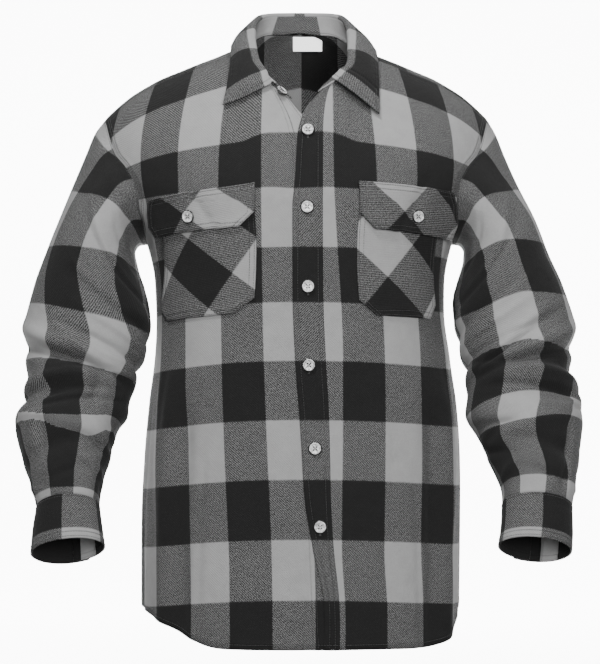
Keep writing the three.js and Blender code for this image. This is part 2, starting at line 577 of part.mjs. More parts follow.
// The grid of a sleeve from the armhole seam down to the cuff
function sleeveGrid(side) {
  const { front, over, back } = armholes.get(side);
  const loop = [...front, ...over, ...back.slice(1).reverse()];
  const seam = loop.map((place) => bodyFrame(place));
  const lengths = loop.map((_, i) => seam[i].point.distanceTo(seam[(i + 1) % loop.length].point));
  const crest = seam.reduce((best, cell, i) => (cell.point.z > seam[best].point.z ? i : best), 0);
  const total = (from, to) => lengths.slice(from, to).reduce((sum, length) => sum + length, 0);
  const angles = loop.map((_, i) => {
    if (i <= crest) return Math.PI * (1 - total(0, i) / total(0, crest));
    return -Math.PI * (total(crest, i) / total(crest, loop.length));
  });
  const table = sleeveTables.get(side);
  const grid = ringPlaces().map((along) => {
    const fade = (1 - smooth(along, 0, CAP_FADE.length)) ** CAP_FADE.power;
    return angles.map((angle, i) => {
      const base = ringPoint(table, side, along, angle);
      const cap = seam[i].point.clone().sub(ringPoint(table, side, 0, angle));
      return { point: base.addScaledVector(cap, fade), angle };
    });
  });
  setNormals(grid, side);
  grid.forEach((row, i) => {
    const along = ringPlaces()[i];
    const end = smooth(along, SLEEVE_LENGTH - FOLD_SETTLE.end, SLEEVE_LENGTH);
    const settle = smooth(along, FOLD_SETTLE.from, FOLD_SETTLE.to) * (1 - end);
    row.forEach((cell) => {
      const degrees = THREE.MathUtils.euclideanModulo(cell.angle / DEGREE, 360);
      cell.point.addScaledVector(cell.normal, settle * sleeveFold(along, degrees));
    });
  });
  setNormals(grid, side);
  return { grid, seam };
}

// Outward normals of a ring grid from its neighbouring points
function setNormals(grid, side) {
  const rows = grid.length;
  const columns = grid[0].length;
  grid.forEach((row, i) => {
    row.forEach((cell, j) => {
      const around = row[(j + 1) % columns].point.clone().sub(row[(j + columns - 1) % columns].point);
      const down = grid[Math.min(i + 1, rows - 1)][j].point.clone().sub(grid[Math.max(i - 1, 0)][j].point);
      cell.normal = around.cross(down).multiplyScalar(-side).normalize();
    });
  });
}

// Both sides' sleeves, and the shared direction of the wall's edge at each armhole seam
const sleeves = new Map(
  [-1, 1].map((side) => {
    const made = sleeveGrid(side);
    made.grid[0].forEach((cell, j) => {
      cell.normal.add(made.seam[j].normal).normalize();
    });
    return [side, made];
  }),
);

// The seam direction at the armhole for the panel whose place is given
function seamNormal(side, index) {
  return sleeves.get(side).grid[0][index].normal.clone();
}

// Places round the collar where the neck seam meets a band's seam and the yoke
const NECK_JOINS = new Map([
  [-1, { band: 0.07, yoke: 0.21 }],
  [1, { band: 0.95, yoke: 0.79 }],
]);

// Places round the collar at which the bands, fronts and yoke have their own points
function collarPlaces() {
  const span = (from, to, count) => steps(count).slice(1).map((t) => mix(from, to, t));
  const [right, left] = [NECK_JOINS.get(-1), NECK_JOINS.get(1)];
  return [
    0,
    ...span(0, right.band, BAND_COLUMNS),
    ...span(right.band, right.yoke, NECK_COLUMNS),
    ...span(right.yoke, left.yoke, YOKE_NECK_COLUMNS),
    ...span(left.yoke, left.band, NECK_COLUMNS),
    ...span(left.band, 1, BAND_COLUMNS),
  ];
}

// The place on the body of the neck seam at a place round the collar
function neckPlace(place) {
  return placeOver(collar.seamX(place), collar.over(place));
}

// The top row of a front: round the neck from the band's seam, then along the yoke's seam
function frontTop(side) {
  const { band, yoke: join } = NECK_JOINS.get(side);
  const neck = steps(NECK_COLUMNS).map((t) => neckPlace(mix(band, join, t)));
  const start = neck.at(-1).turn;
  const end = armholes.get(side).front.at(-1).turn;
  const shares = steps(SHOULDER_COLUMNS).slice(1);
  const seam = shares.map((t) => ({ turn: mix(start, end, t), level: YOKE_FRONT, back: false }));
  return [...neck, ...seam];
}

// A band's edge as readers of its place from its level
function bandEdge(side) {
  const table = side > 0 ? LEFT_BAND : RIGHT_BAND;
  const rows = table.map((row) => ({ level: row.seamLevel, x: row.seamX, place: row.place }));
  return readers(rows, "level");
}

// Rows of places of a front panel, from the hem to the neck and yoke
function frontRows(side) {
  const hemAt = side > 0 ? hem.left : hem.right;
  const edge = bandEdge(side);
  const inner = (level) => turnAt(edge.x(level), level);
  const top = frontTop(side);
  const [first, last] = [top[0].turn, top.at(-1).turn];
  const shares = top.map((place) => (place.turn - first) / (last - first));
  const quarter = side * QUARTER;
  const row = (innerTurn, outerTurn, levelAt) =>
    shares.map((u) => ({ turn: mix(innerTurn, outerTurn, u), level: levelAt(u), back: false }));
  const rows = BODY_LEVELS.map((v) => {
    const levelAt = (u) => mix(hemAt(Math.abs(mix(inner(BAND_FOOT), quarter, u)) / DEGREE), UNDERARM, v);
    return row(inner(levelAt(0)), quarter, levelAt);
  });
  const arm = armholes.get(side).front;
  arm.slice(1, BOWL_ROWS + 1).forEach((outer) => {
    rows.push(row(inner(outer.level), outer.turn, () => outer.level));
  });
  const foot = rows.at(-1);
  arm.slice(BOWL_ROWS + 1).forEach((outer) => {
    const t = (outer.level - ARMHOLE_FOOT) / (YOKE_FRONT - ARMHOLE_FOOT);
    const seamLevel = mix(ARMHOLE_FOOT, top[0].level, t);
    const base = foot.map((place, j) => mix(place.turn, top[j].turn, t));
    const inward = inner(seamLevel) - base[0];
    const outward = outer.turn - base.at(-1);
    rows.push(
      shares.map((u, j) => ({
        turn: base[j] + inward * (1 - u) + outward * u,
        level: mix(ARMHOLE_FOOT, top[j].level, t),
        back: false,
      })),
    );
  });
  return rows;
}

// How far a place lies in or out of the body's surface, for the lap of the fronts
function lapLift(side, place) {
  if (side > 0) return 0;
  const x = bodyPoint(place.turn, place.level, false).x;
  const drift = rightBand.seamX(THREE.MathUtils.clamp((place.level - BAND_FOOT) / BAND_RISE, 0, 1));
  return UNDERLAP * smooth(x, drift - LAP.from, drift - LAP.to);
}

// Solid of one front
function front(side, name, material) {
  const grid = frontRows(side).map((row) => row.map((place) => bodyFrame(place, lapLift(side, place))));
  armholes.get(side).front.forEach((_, k) => {
    grid[BODY_ROWS + k].at(-1).normal.copy(seamNormal(side, k));
  });
  return wall(name, trim(grid, { high: true, first: true, last: true }), CLOTH, material);
}

// Solid of a front band, from the front's own edge points to the band's free edge
function frontBand(side, name, material) {
  const band = side > 0 ? leftBand : rightBand;
  const edge = bandEdge(side);
  const { band: join } = NECK_JOINS.get(side);
  const rows = frontRows(side).map((row) => row[0]);
  const grid = rows.map((seam, i) => {
    const place = edge.place(seam.level);
    const atTop = i === rows.length - 1;
    const columns = steps(BAND_COLUMNS).map((u) => {
      if (atTop) return neckPlace(mix(join, side > 0 ? 1 : 0, u));
      const x = mix(edge.x(seam.level), band.freeX(place), u);
      const level = mix(seam.level, band.freeLevel(place), u);
      return { turn: u === 0 ? seam.turn : turnAt(x, level), level, back: false };
    });
    return columns.map((at) => bodyFrame(at, lapLift(side, at)));
  });
  return wall(name, trim(grid, { high: true, first: true }), FOLDED, material);
}

// Shares of the half turn at which the back's columns stand, the same as the yoke's
const backShares = Array.from({ length: 2 * HALF_COLUMNS + 1 }, (_, j) => (j - HALF_COLUMNS) / HALF_COLUMNS);

// Level of the yoke's back seam at a share of the half turn: it runs straight across, so its level dips
// where the shoulder line stands high
function yokeBackLevel(share) {
  return YOKE_BACK - YOKE_DIP.depth * (1 - smooth(share, YOKE_DIP.from, YOKE_DIP.to));
}

// Solid of the back, from the wearer's right side seam to the left
function back(name, material) {
  const rows = BODY_LEVELS.map((v) =>
    backShares.map((u) => ({
      turn: u * QUARTER,
      level: mix(hem.back(Math.abs(u) * 90), UNDERARM, v),
      back: true,
    })),
  );
  const left = armholes.get(1).back;
  const right = armholes.get(-1).back;
  left.slice(1).forEach((place, k) => {
    const t = Math.max((place.level - ARMHOLE_FOOT) / (YOKE_BACK - ARMHOLE_FOOT), 0);
    rows.push(
      backShares.map((u) => ({
        turn: Math.abs(u) * (u < 0 ? right[k + 1].turn : place.turn),
        level: place.level + t * (yokeBackLevel(Math.abs(u)) - YOKE_BACK),
        back: true,
      })),
    );
  });
  const grid = rows.map((row) => row.map((place) => bodyFrame(place)));
  left.forEach((_, k) => {
    const row = grid[BODY_ROWS + k];
    row.at(-1).normal.copy(backSeamNormal(1, k));
    row[0].normal.copy(backSeamNormal(-1, k));
  });
  return wall(name, trim(grid, { high: true, first: true, last: true }), CLOTH, material);
}

// The armhole loop runs up the front first, so the back's rows count from its end
function backSeamNormal(side, k) {
  const count = sleeves.get(side).grid[0].length;
  return seamNormal(side, (count - k) % count);
}

// The front edge of the yoke: along the right front, round the back of the neck, and along the left front
function yokeTop() {
  const seam = (side) => frontTop(side).slice(NECK_COLUMNS);
  const [from, to] = [NECK_JOINS.get(-1).yoke, NECK_JOINS.get(1).yoke];
  const neck = steps(YOKE_NECK_COLUMNS).slice(1, -1).map((t) => neckPlace(mix(from, to, t)));
  return [...seam(-1).reverse(), ...neck, ...seam(1)];
}

// Solid of the yoke, from the front seams and the neck hole over the shoulders to the back seam
function yoke(name, material) {
  const top = yokeTop();
  const start = armholes.get(1).front.length - 1;
  const edgeAt = (side, i) => {
    const { front: fore, over, back: rear } = armholes.get(side);
    return [fore.at(-1), ...over, rear.at(-1)][i];
  };
  const overOf = (place) => (place.back ? place.level - RIDGE : RIDGE - place.level);
  const grid = yokeOvers.map((_, i) =>
    backShares.map((u, j) => {
      const side = u < 0 ? -1 : 1;
      if (Math.abs(u) === 1) return bodyFrame(edgeAt(side, i));
      const t = i / YOKE_ROWS;
      const low = Math.abs(u) * edgeAt(side, YOKE_ROWS).turn;
      const over = mix(overOf(top[j]), yokeBackLevel(Math.abs(u)) - RIDGE, t);
      const turn = mix(top[j].turn, low, t);
      return bodyFrame({ turn, level: RIDGE - Math.abs(over), back: over < 0 });
    }),
  );
  yokeOvers.forEach((_, i) => {
    grid[i][0].normal.copy(seamNormal(-1, start + i));
    grid[i].at(-1).normal.copy(seamNormal(1, start + i));
  });
  return wall(name, trim(grid, { low: true, high: true, first: true, last: true }), CLOTH, material);
}

// The collar's frame at a place round the neck: seam point, up the stand, and outward
function collarFrame(place) {
  const seamAt = (at) => bodyFrame(placeOver(collar.seamX(at), collar.over(at)));
  const { point: seam, normal } = seamAt(place);
  const ahead = seamAt(Math.min(place + COLLAR_STEP, 1)).point;
  const behind = seamAt(Math.max(place - COLLAR_STEP, 0)).point;
  const tangent = ahead.sub(behind).normalize();
  const into = normal.clone().cross(tangent).negate();
  const fold = vector(collar.foldX(place), collar.foldY(place), collar.foldZ(place));
  const foot = seam.clone().addScaledVector(into, FOLDED / 2 + NECK_GAP).addScaledVector(normal, -CLOTH / 2);
  const up = fold.clone().sub(foot).normalize();
  const out = tangent.clone().cross(up).normalize();
  if (out.dot(normal.clone().sub(into)) < 0) out.negate();
  const top = fold.clone().addScaledVector(up, -ROLL_HEIGHT);
  return { foot, top, up, out };
}

// Solid of the collar stand
function collarStand(name, material) {
  const grid = steps(STAND_ROWS).map((v) =>
    collarPlaces().map((place) => {
      const { foot, top, out } = collarFrame(place);
      return { point: foot.clone().lerp(top, v), normal: out };
    }),
  );
  return wall(name, grid, FOLDED, material);
}

// Moves a point clear of the body, from a first guess of the place below it
function clearOfBody(point, guess, clearance) {
  const place = { ...guess };
  const lifted = point.clone();
  for (let pass = 0; pass < CLEAR_PASSES.all; pass += 1) {
    const { point: below, normal } = bodyFrame(placeOver(place.x, place.over));
    const beside = bodyFrame(placeOver(place.x + 1, place.over)).point.sub(below);
    const ahead = bodyFrame(placeOver(place.x, place.over + 1)).point.sub(below);
    const gap = lifted.clone().sub(below);
    place.x += gap.dot(beside) / beside.lengthSq();
    place.over += gap.dot(ahead) / ahead.lengthSq();
    if (pass >= CLEAR_PASSES.still) lifted.addScaledVector(normal, Math.max(clearance - gap.dot(normal), 0));
  }
  return lifted;
}

// Solid of the collar leaf: over the roll, then down to its outer edge
function collarLeaf(name, material) {
  const places = collarPlaces();
  const columns = places.map((place) => {
    const { top, up, out } = collarFrame(place);
    const rolled = COLLAR_ROLL.map(({ rise, out: away }) =>
      top.clone().addScaledVector(up, rise).addScaledVector(out, away),
    );
    const edge = bodyFrame(placeOver(collar.edgeX(place), collar.edgeOver(place)), collar.lift(place)).point;
    const start = rolled.at(-1);
    const fall = steps(LEAF_ROWS).slice(1).map((t) => {
      const bowed = start.clone().lerp(edge, t).addScaledVector(out, LEAF_BOW * Math.sin(Math.PI * t));
      const below = {
        x: mix(collar.seamX(place), collar.edgeX(place), t),
        over: mix(collar.over(place), collar.edgeOver(place), t),
      };
      return clearOfBody(bowed, below, LEAF_CLEAR);
    });
    return [...rolled, ...fall];
  });
  const grid = columns[0].map((_, i) =>
    columns.map((column, j) => {
      const along = columns[Math.min(j + 1, columns.length - 1)][i].clone().sub(columns[Math.max(j - 1, 0)][i]);
      const down = column[Math.min(i + 1, column.length - 1)].clone().sub(column[Math.max(i - 1, 0)]);
      const normal = i === 0 ? collarFrame(places[j]).out : down.cross(along).normalize();
      return { point: column[i], normal };
    }),
  );
  return wall(name, grid, FOLDED, material);
}

// Solid of a sleeve
function sleeve(side, name, material) {
  const { grid } = sleeves.get(side);
  return wall(name, trim(grid, { low: true, high: true }), CLOTH, material, true);
}

// A place on a cuff: around from 0 at the under end to 1 at the end that laps over it
function cuffPoint(table, side, along, around) {
  const turn = CUFF_START - around * (360 + CUFF_OVERLAP);
  const point = ringPoint(table, side, along, turn * DEGREE);
  const middle = ringPoint(table, side, along, 0).lerp(ringPoint(table, side, along, Math.PI), 0.5);
  const outward = point.clone().sub(middle).normalize();
  return point.addScaledVector(outward, CUFF_STEP.height * smooth(around, CUFF_STEP.from, CUFF_STEP.to));
}

// Normal of a cuff at a place, from the points beside it
function cuffFrame(table, side, along, around) {
  const point = cuffPoint(table, side, along, around);
  const round = cuffPoint(table, side, along, around + STEP).sub(cuffPoint(table, side, along, around - STEP));
  const down = cuffPoint(table, side, along + 1, around).sub(cuffPoint(table, side, along - 1, around));
  return { point, normal: round.cross(down).multiplyScalar(-side).normalize() };
}

// Solid of a cuff
function cuff(side, name, material) {
  const table = readers(side > 0 ? LEFT_CUFF : RIGHT_CUFF, "along");
  const length = LEFT_CUFF.at(-1).along;
  const grid = steps(CUFF_ROWS).map((v) =>
    steps(CUFF_COLUMNS).map((around) => cuffFrame(table, side, mix(CUFF_GAP, length - CUFF_GAP, v), around)),
  );
  return wall(name, grid, FOLDED, material);
}

// Shares of the way between two angles at which a front's own columns stand, with both ends
function columnsBetween(side, from, to) {
  const row = frontRows(side)[BODY_ROWS];
  const shares = row.map((place) => (place.turn - from) / (to - from));
  const within = shares.filter((t) => t > LEAST_SHARE && t < 1 - LEAST_SHARE);
  return [0, ...within.sort((a, b) => a - b), 1];
}

// A patch on a front between four corners, its lower corners clipped
function patch(name, shape, clip, lift, thickness, rows, material) {
  const { side } = shape;
  const inTop = placeOnFront(side * shape.inX, shape.inTop);
  const inLow = placeOnFront(side * shape.inX, shape.inLow);
  const outTop = placeOnFront(side * shape.outTopX, shape.outTop);
  const outLow = placeOnFront(side * shape.outLowX, shape.outLow);
  const columns = columnsBetween(side, outLow.turn, inLow.turn);
  const heights = [0, clip.height, ...steps(rows).slice(1).map((t) => mix(clip.height, 1, t))];
  const grid = heights.map((v) => {
    const inset = clip.width * Math.max(1 - v / clip.height, 0);
    return columns.map((t) => {
      const u = 1 - mix(inset, 1 - inset, t);
      const turn = mix(mix(inLow.turn, outLow.turn, u), mix(inTop.turn, outTop.turn, u), v);
      const level = mix(mix(inLow.level, outLow.level, u), mix(inTop.level, outTop.level, u), v);
      return bodyFrame({ turn, level, back: false }, lift);
    });
  });
  return wall(name, grid, thickness, material);
}

// A button seated with its back on a point, facing along a normal
function button(name, point, normal) {
  const { radius, back: heel, rim, dish, height, floor, sides } = BUTTON;
  const profile = [
    [0, 0],
    [heel, 0],
    [radius, height / 2],
    [rim, height],
    [dish, floor],
    [0, floor],
  ].map(([x, y]) => new THREE.Vector2(x, y));
  const mesh = new THREE.Mesh(new THREE.LatheGeometry(profile, sides), pearl());
  mesh.name = name;
  mesh.position.copy(point);
  mesh.quaternion.setFromUnitVectors(vector(0, 1, 0), normal);
  return mesh;
}

// A button on a front, above so much cloth
function frontButton(name, x, z, cloth) {
  const { point, normal } = bodyFrame(placeOnFront(x, z), cloth + BUTTON_SHANK);
  return button(name, point, normal);
}

// The neck button on the stand's outer face
function neckButton(name) {
  const { foot, top, out } = collarFrame(NECK_BUTTON.place);
  const seat = foot.lerp(top, NECK_BUTTON.height).addScaledVector(out, FOLDED / 2 + NECK_BUTTON.gap);
  return button(name, seat, out);
}

// A cuff's button on the end that laps over
function cuffButton(side, name) {
  const table = readers(side > 0 ? LEFT_CUFF : RIGHT_CUFF, "along");
  const { point, normal } = cuffFrame(table, side, LEFT_CUFF.at(-1).along / 2, CUFF_BUTTON_PLACE);
  return button(name, point.addScaledVector(normal, FOLDED / 2 + BUTTON_SHANK + SEAM), normal);
}

// The strip along a sleeve's slit, on the sleeve's own points at the back
function sleevePlacket(side, name, material) {
  const { grid } = sleeves.get(side);
  const { columns: count } = SLIT;
  const first = grid[0].findIndex((cell) => -cell.angle / DEGREE > SLIT.angle);
  const strip = grid.slice(grid.length - SLIT.rings, -1).map((row) =>
    row.slice(first, first + count).map(({ point, normal }) => {
      return { point: point.clone().addScaledVector(normal, CLOTH + SEAM), normal };
    }),
  );
  return wall(name, strip, CLOTH, material);
}

// The blank label on the yoke's inner face, below the back neck seam
function neckLabel(name) {
  const inward = -(CLOTH / 2 + LAYER + LABEL.thick);
  const start = LABEL.drop - collar.over(LABEL.place);
  const grid = steps(LABEL.rows).map((v) => {
    const over = -mix(start, start + LABEL.height, v);
    return steps(LABEL.columns).map((u) => bodyFrame(placeOver(mix(LABEL.left, LABEL.right, u), over), inward));
  });
  const blank = new THREE.MeshStandardMaterial({ color: SHADES.label, roughness: 0.8 });
  return wall(name, grid, LABEL.thick, blank);
}

const shirt = new THREE.Group();
shirt.name = "flannel_shirt";
shirt.add(
  front(-1, "right_front", flannel(SHADES.front)),
  front(1, "left_front", flannel(SHADES.front)),
  frontBand(1, "front_placket", flannel(SHADES.placket)),
  frontBand(-1, "button_band", flannel(SHADES.buttonBand)),
  back("back", flannel(SHADES.back)),
  yoke("yoke", flannel(SHADES.yoke)),
  collarStand("collar_stand", flannel(SHADES.stand)),
  collarLeaf("collar_leaf", flannel(SHADES.leaf)),
);
[-1, 1].forEach((side) => {
  const word = side > 0 ? "left" : "right";
  shirt.add(sleeve(side, `${word}_sleeve`, flannel(SHADES.sleeve)));
  shirt.add(sleevePlacket(side, `${word}_sleeve_placket`, flannel(SHADES.slit)));
  shirt.add(cuff(side, `${word}_cuff`, flannel(SHADES.cuff)));
  shirt.add(cuffButton(side, `${word}_cuff_button`));
});
POCKETS.forEach((shape) => {
  const name = `${shape.side > 0 ? "left" : "right"}_pocket`;
  shirt.add(patch(name, shape, POCKET_CLIP, POCKET_LIFT, CLOTH, POCKET_ROWS, flannel(SHADES.pocket)));
});
FLAPS.forEach((shape) => {
  const name = `${shape.side > 0 ? "left" : "right"}_pocket_flap`;
  shirt.add(patch(name, shape, FLAP_CLIP, FLAP_LIFT, FOLDED, FLAP_ROWS, flannel(SHADES.flap)));
});
FRONT_BUTTONS.forEach(({ x, z }, index) => {
  shirt.add(frontButton(`front_button_${index + 1}`, x, z, FOLDED / 2));
});
POCKET_BUTTONS.forEach(({ side, x, z }) => {
  shirt.add(frontButton(`${side > 0 ? "left" : "right"}_pocket_button`, x, z, FLAP_LIFT + FOLDED / 2));
});
shirt.add(neckButton("neck_button"), neckLabel("neck_label"));

export default shirt;
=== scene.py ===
"""A buffalo-check flannel shirt, filled out as if worn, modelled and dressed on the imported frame.

Sizes are in millimetres until a mesh is made. The front faces -Y and the wearer's left is +X.
"""

import logging
import math
from dataclasses import dataclass, field
from enum import Enum
from typing import Any, Sequence

import bmesh
import bpy
import numpy as np
from mathutils import Matrix, Vector

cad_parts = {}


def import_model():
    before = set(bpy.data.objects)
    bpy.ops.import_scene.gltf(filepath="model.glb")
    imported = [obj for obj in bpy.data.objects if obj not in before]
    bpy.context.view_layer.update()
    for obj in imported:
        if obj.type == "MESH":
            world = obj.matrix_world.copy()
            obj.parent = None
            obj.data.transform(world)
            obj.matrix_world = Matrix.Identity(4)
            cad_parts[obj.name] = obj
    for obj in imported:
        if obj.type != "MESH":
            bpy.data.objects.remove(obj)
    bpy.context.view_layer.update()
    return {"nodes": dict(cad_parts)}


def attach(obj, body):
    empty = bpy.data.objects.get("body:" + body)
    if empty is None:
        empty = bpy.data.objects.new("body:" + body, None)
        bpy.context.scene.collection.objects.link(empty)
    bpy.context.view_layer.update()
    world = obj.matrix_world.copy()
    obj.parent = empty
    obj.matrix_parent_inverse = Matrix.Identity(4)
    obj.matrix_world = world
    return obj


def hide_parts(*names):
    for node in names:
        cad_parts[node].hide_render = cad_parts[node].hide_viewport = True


log = logging.getLogger("shirt")
Array = np.ndarray
MM = 0.001
QUARTER = math.pi / 2


class Side(Enum):
    """A side of the wearer, with its sign along X."""

    RIGHT = -1
    LEFT = 1

    @property
    def word(self) -> str:
        """The side's name in a node's name."""
        return self.name.lower()


class Curve:
    """A smooth reading of a table's column, without overshoot, held level past its ends."""

    def __init__(self, at: Sequence[float], values: Sequence[float]) -> None:
        """Keeps the table and the slope at each row.

        Args:
            at: where each row stands, rising.
            values: the column's value at each row.
        """
        self.at = np.array(at, float)
        self.values = np.array(values, float)
        rates = np.diff(self.values) / np.diff(self.at)
        slopes = np.zeros(len(self.at))
        slopes[0], slopes[-1] = rates[0], rates[-1]
        before, after = rates[:-1], rates[1:]
        same = before * after > 0
        both = np.where(same, before + after, 1.0)
        slopes[1:-1] = np.where(same, 2 * before * after / both, 0.0)
        self.slopes = slopes

    def __call__(self, x: Array | float) -> Array:
        """Reads the column.

        Args:
            x: where to read it.

        Returns:
            The values there.
        """
        x = np.clip(np.asarray(x, float), self.at[0], self.at[-1])
        i = np.clip(np.searchsorted(self.at, x, side="right") - 1, 0, len(self.at) - 2)
        span = self.at[i + 1] - self.at[i]
        t = (x - self.at[i]) / span
        u = 1 - t
        return (
            self.values[i] * (1 + 2 * t) * u * u
            + self.values[i + 1] * (3 - 2 * t) * t * t
            + span * t * u * (self.slopes[i] * u - self.slopes[i + 1] * t)
        )


class Table:
    """A short table with named columns, each read as a smooth curve of the first."""

    def __init__(self, names: str, rows: Sequence[Sequence[float]]) -> None:
        """Makes a curve of each column.

        Args:
            names: the columns' names, the first being where each row stands.
            rows: the table's rows.
        """
        columns = list(zip(*rows))
        pairs = zip(names.split()[1:], columns[1:])
        self.curves = {name: Curve(columns[0], column) for name, column in pairs}

    def __getattr__(self, name: str) -> Curve:
        """The column of that name."""
        return self.curves[name]


HEM_LEVEL = -761.0

# The body's form, as in the part's source
TORSO = Table(
    "level width front back square lean",
    [
        (-790, 205, 143, 120, 2.3, 0),
        (-600, 206, 143, 118, 2.3, -0.006),
        (-525, 204, 144, 116, 2.3, -0.014),
        (-460, 199, 145, 116, 2.3, -0.018),
        (-400, 191, 146, 117, 2.3, -0.016),
        (-340, 186, 148, 122, 2.3, -0.002),
        (-300, 187, 149, 127, 2.3, 0.002),
        (-250, 197, 149, 132, 2.3, 0.004),
        (-200, 222, 149, 134, 2.3, 0.012),
        (-130, 248, 149, 134, 2.25, 0.02),
        (-40, 259, 149, 134, 2.2, 0.02),
        (40, 262, 149, 134, 2.2, 0.02),
    ],
)
SHOULDER = Curve(
    (0, 40, 58, 75, 100, 128, 152, 176, 196, 212, 226, 237, 246, 262),
    (64, 48, 30, 8, -5, -16, -26, -36, -47, -57, -68, -78, -87, -112),
)
ARMHOLE = Table(
    "level front back",
    [
        (-250, 197, 197), (-238, 198, 200), (-220, 199, 204), (-195, 201, 209), (-170, 205, 215),
        (-130, 221, 227), (-105, 233, 236), (-30, 244, 246), (40, 249, 249),
    ],
)
BAND_NAMES = "place freeX freeLevel seamX seamLevel"
BAND_ROWS = {
    Side.LEFT: [
        (0, 31, -761, 50, -761), (0.1, 30, -695, 48.7, -695), (0.155, 26, -658, 46, -658),
        (0.21, 11.5, -623, 40, -623), (0.32, 5, -548, 38, -548), (0.44, 0, -470, 36.2, -470),
        (0.54, -5, -405, 32.4, -405), (0.68, -8.7, -307, 28.7, -307), (0.82, -8.7, -208, 28.3, -208),
        (0.88, -5.5, -165, 28.5, -165), (0.93, -1.5, -124, 28.9, -122), (0.96, 9, -106, 33, -98),
        (1, 25, -93, 56, -57),
    ],
    Side.RIGHT: [
        (0, 46, -761, 17, -761), (0.15, 43, -660, 13, -660), (0.23, 40, -607, 10, -607),
        (0.38, 33.7, -509, 3.7, -509), (0.54, 26, -405, -4, -405), (0.68, 25, -307, -5, -307),
        (0.82, 24, -208, -6, -208), (0.9, 22, -152, -9, -150), (0.94, 15, -126, -15, -122),
        (0.97, 0, -111, -27, -101), (1, -12.6, -100, -42, -80),
    ],
}
BANDS = {side: Table(BAND_NAMES, rows) for side, rows in BAND_ROWS.items()}
BAND_EDGES = {
    side: Table("seamLevel seamX place", [(row[4], row[3], row[0]) for row in rows])
    for side, rows in BAND_ROWS.items()
}
HEM = Table(
    "angle left right back",
    [
        (0, -761, -761, -772), (24, -761, -761, -772), (38, -762, -752, -768), (50, -762, -737, -756),
        (62, -756, -727, -741), (76, -734, -720, -727), (90, -714, -714, -714),
    ],
)
COLLAR = Table(
    "place seamX over foldX foldY foldZ edgeX edgeOver lift",
    [
        (0, -12.6, 140, -35, -100, -45, -96, 127, 7),
        (0.07, -42, 120, -47, -80, -31, -91, 104, 6),
        (0.14, -70, 90, -53, -52, -10, -87, 70, 7),
        (0.21, -78, 38, -56, -18, 15, -86, 28, 7),
        (0.28, -78, 0, -56, 10, 34, -86, -4, 6),
        (0.35, -69, -30, -52, 38, 49, -84, -40, 5),
        (0.42, -45, -62, -33, 63, 58, -56, -80, 7),
        (0.5, 0, -81, 0, 72, 60, 0, -99, 9),
        (0.58, 45, -62, 34, 63, 58, 58, -80, 7),
        (0.65, 69, -30, 54, 38, 49, 89, -40, 5),
        (0.72, 78, 0, 59, 10, 33, 94, -4, 6),
        (0.79, 78, 38, 60, -18, 13, 96, 28, 7),
        (0.86, 72, 82, 60, -52, -12, 98, 75, 7),
        (0.93, 49, 111, 56, -78, -31, 99, 110, 6),
        (1, 25, 133, 45, -99, -46, 99, 137, 7),
    ],
)
SLEEVE_NAMES = "along outX outZ inX inZ midY depth tip turn"
SLEEVES = {
    Side.RIGHT: Table(
        SLEEVE_NAMES,
        [
            (0, 251, -93, 197, -250, 0, 84, 0, 0),
            (16, 263, -108, 207, -252, -3, 84, 0, 3),
            (40, 275, -134, 213, -263, -7, 83, 0, 6),
            (75, 293, -176, 210, -283, -12, 80, 2, 10),
            (115, 309, -218, 203, -305, -18, 77, 4, 14),
            (155, 326, -260, 196, -328, -24, 74, 6, 16),
            (200, 343, -306, 192, -356, -29, 72, 8, 14),
            (240, 352, -348, 196, -384, -34, 70, 10, 10),
            (280, 353, -388, 205, -411, -41, 68, 13, 6),
            (318, 347, -424, 213, -438, -50, 66, 17, 3),
            (345, 345, -452, 221, -460, -58, 64, 21, 0),
            (368, 363, -474, 229, -480, -66, 62, 24, 0),
            (400, 358, -504, 238, -508, -79, 57, 26, 0),
            (436, 348, -539, 247, -541, -93, 50, 27, 0),
            (468, 335, -571, 252, -569, -105, 43, 28, 0),
            (484, 331, -586, 253, -582, -111, 39, 29, 0),
        ],
    ),
    Side.LEFT: Table(
        SLEEVE_NAMES,
        [
            (0, 247, -93, 197, -250, 0, 84, 0, 0),
            (16, 257, -110, 207, -252, -3, 84, 0, 3),
            (40, 268, -138, 213, -263, -7, 83, 0, 6),
            (75, 284, -178, 210, -283, -12, 80, 2, 10),
            (115, 303, -222, 203, -305, -18, 77, 4, 14),
            (155, 319, -264, 198, -328, -24, 74, 6, 14),
            (200, 339, -308, 199, -354, -29, 72, 8, 12),
            (240, 350, -348, 204, -382, -34, 70, 10, 8),
            (280, 350, -388, 210, -409, -41, 68, 13, 6),
            (318, 343, -420, 213, -434, -50, 66, 17, 3),
            (345, 351, -445, 214, -458, -58, 64, 21, 0),
            (368, 361, -468, 219, -482, -66, 62, 24, 0),
            (400, 357, -500, 233, -508, -79, 57, 26, 0),
            (436, 353, -535, 247, -541, -93, 50, 27, 0),
            (468, 345, -569, 255, -567, -105, 43, 28, 0),
            (484, 342, -584, 255, -580, -111, 39, 29, 0),
        ],
    ),
}
CUFFS = {
    Side.RIGHT: Table(
        SLEEVE_NAMES,
        [
            (0, 331, -586, 253, -582, -111, 39, 29, 0),
            (30, 335, -614, 249, -608, -119, 37, 29, 0),
            (62, 337, -643, 245, -633, -126, 35, 30, 0),
        ],
    ),
    Side.LEFT: Table(
        SLEEVE_NAMES,
        [
            (0, 342, -584, 255, -580, -111, 39, 29, 0),
            (30, 342, -614, 253, -608, -119, 37, 29, 0),
            (62, 340, -640, 249, -632, -126, 35, 30, 0),
        ],
    ),
}


def smooth(value: Array, low: float, high: float) -> Array:
    """Rises softly from 0 at low to 1 at high."""
    t = np.clip((value - low) / (high - low), 0, 1)
    return t * t * (3 - 2 * t)


def bell(distance: Array) -> Array:
    """A soft hump, 1 at distance 0."""
    return np.exp(-distance * distance)


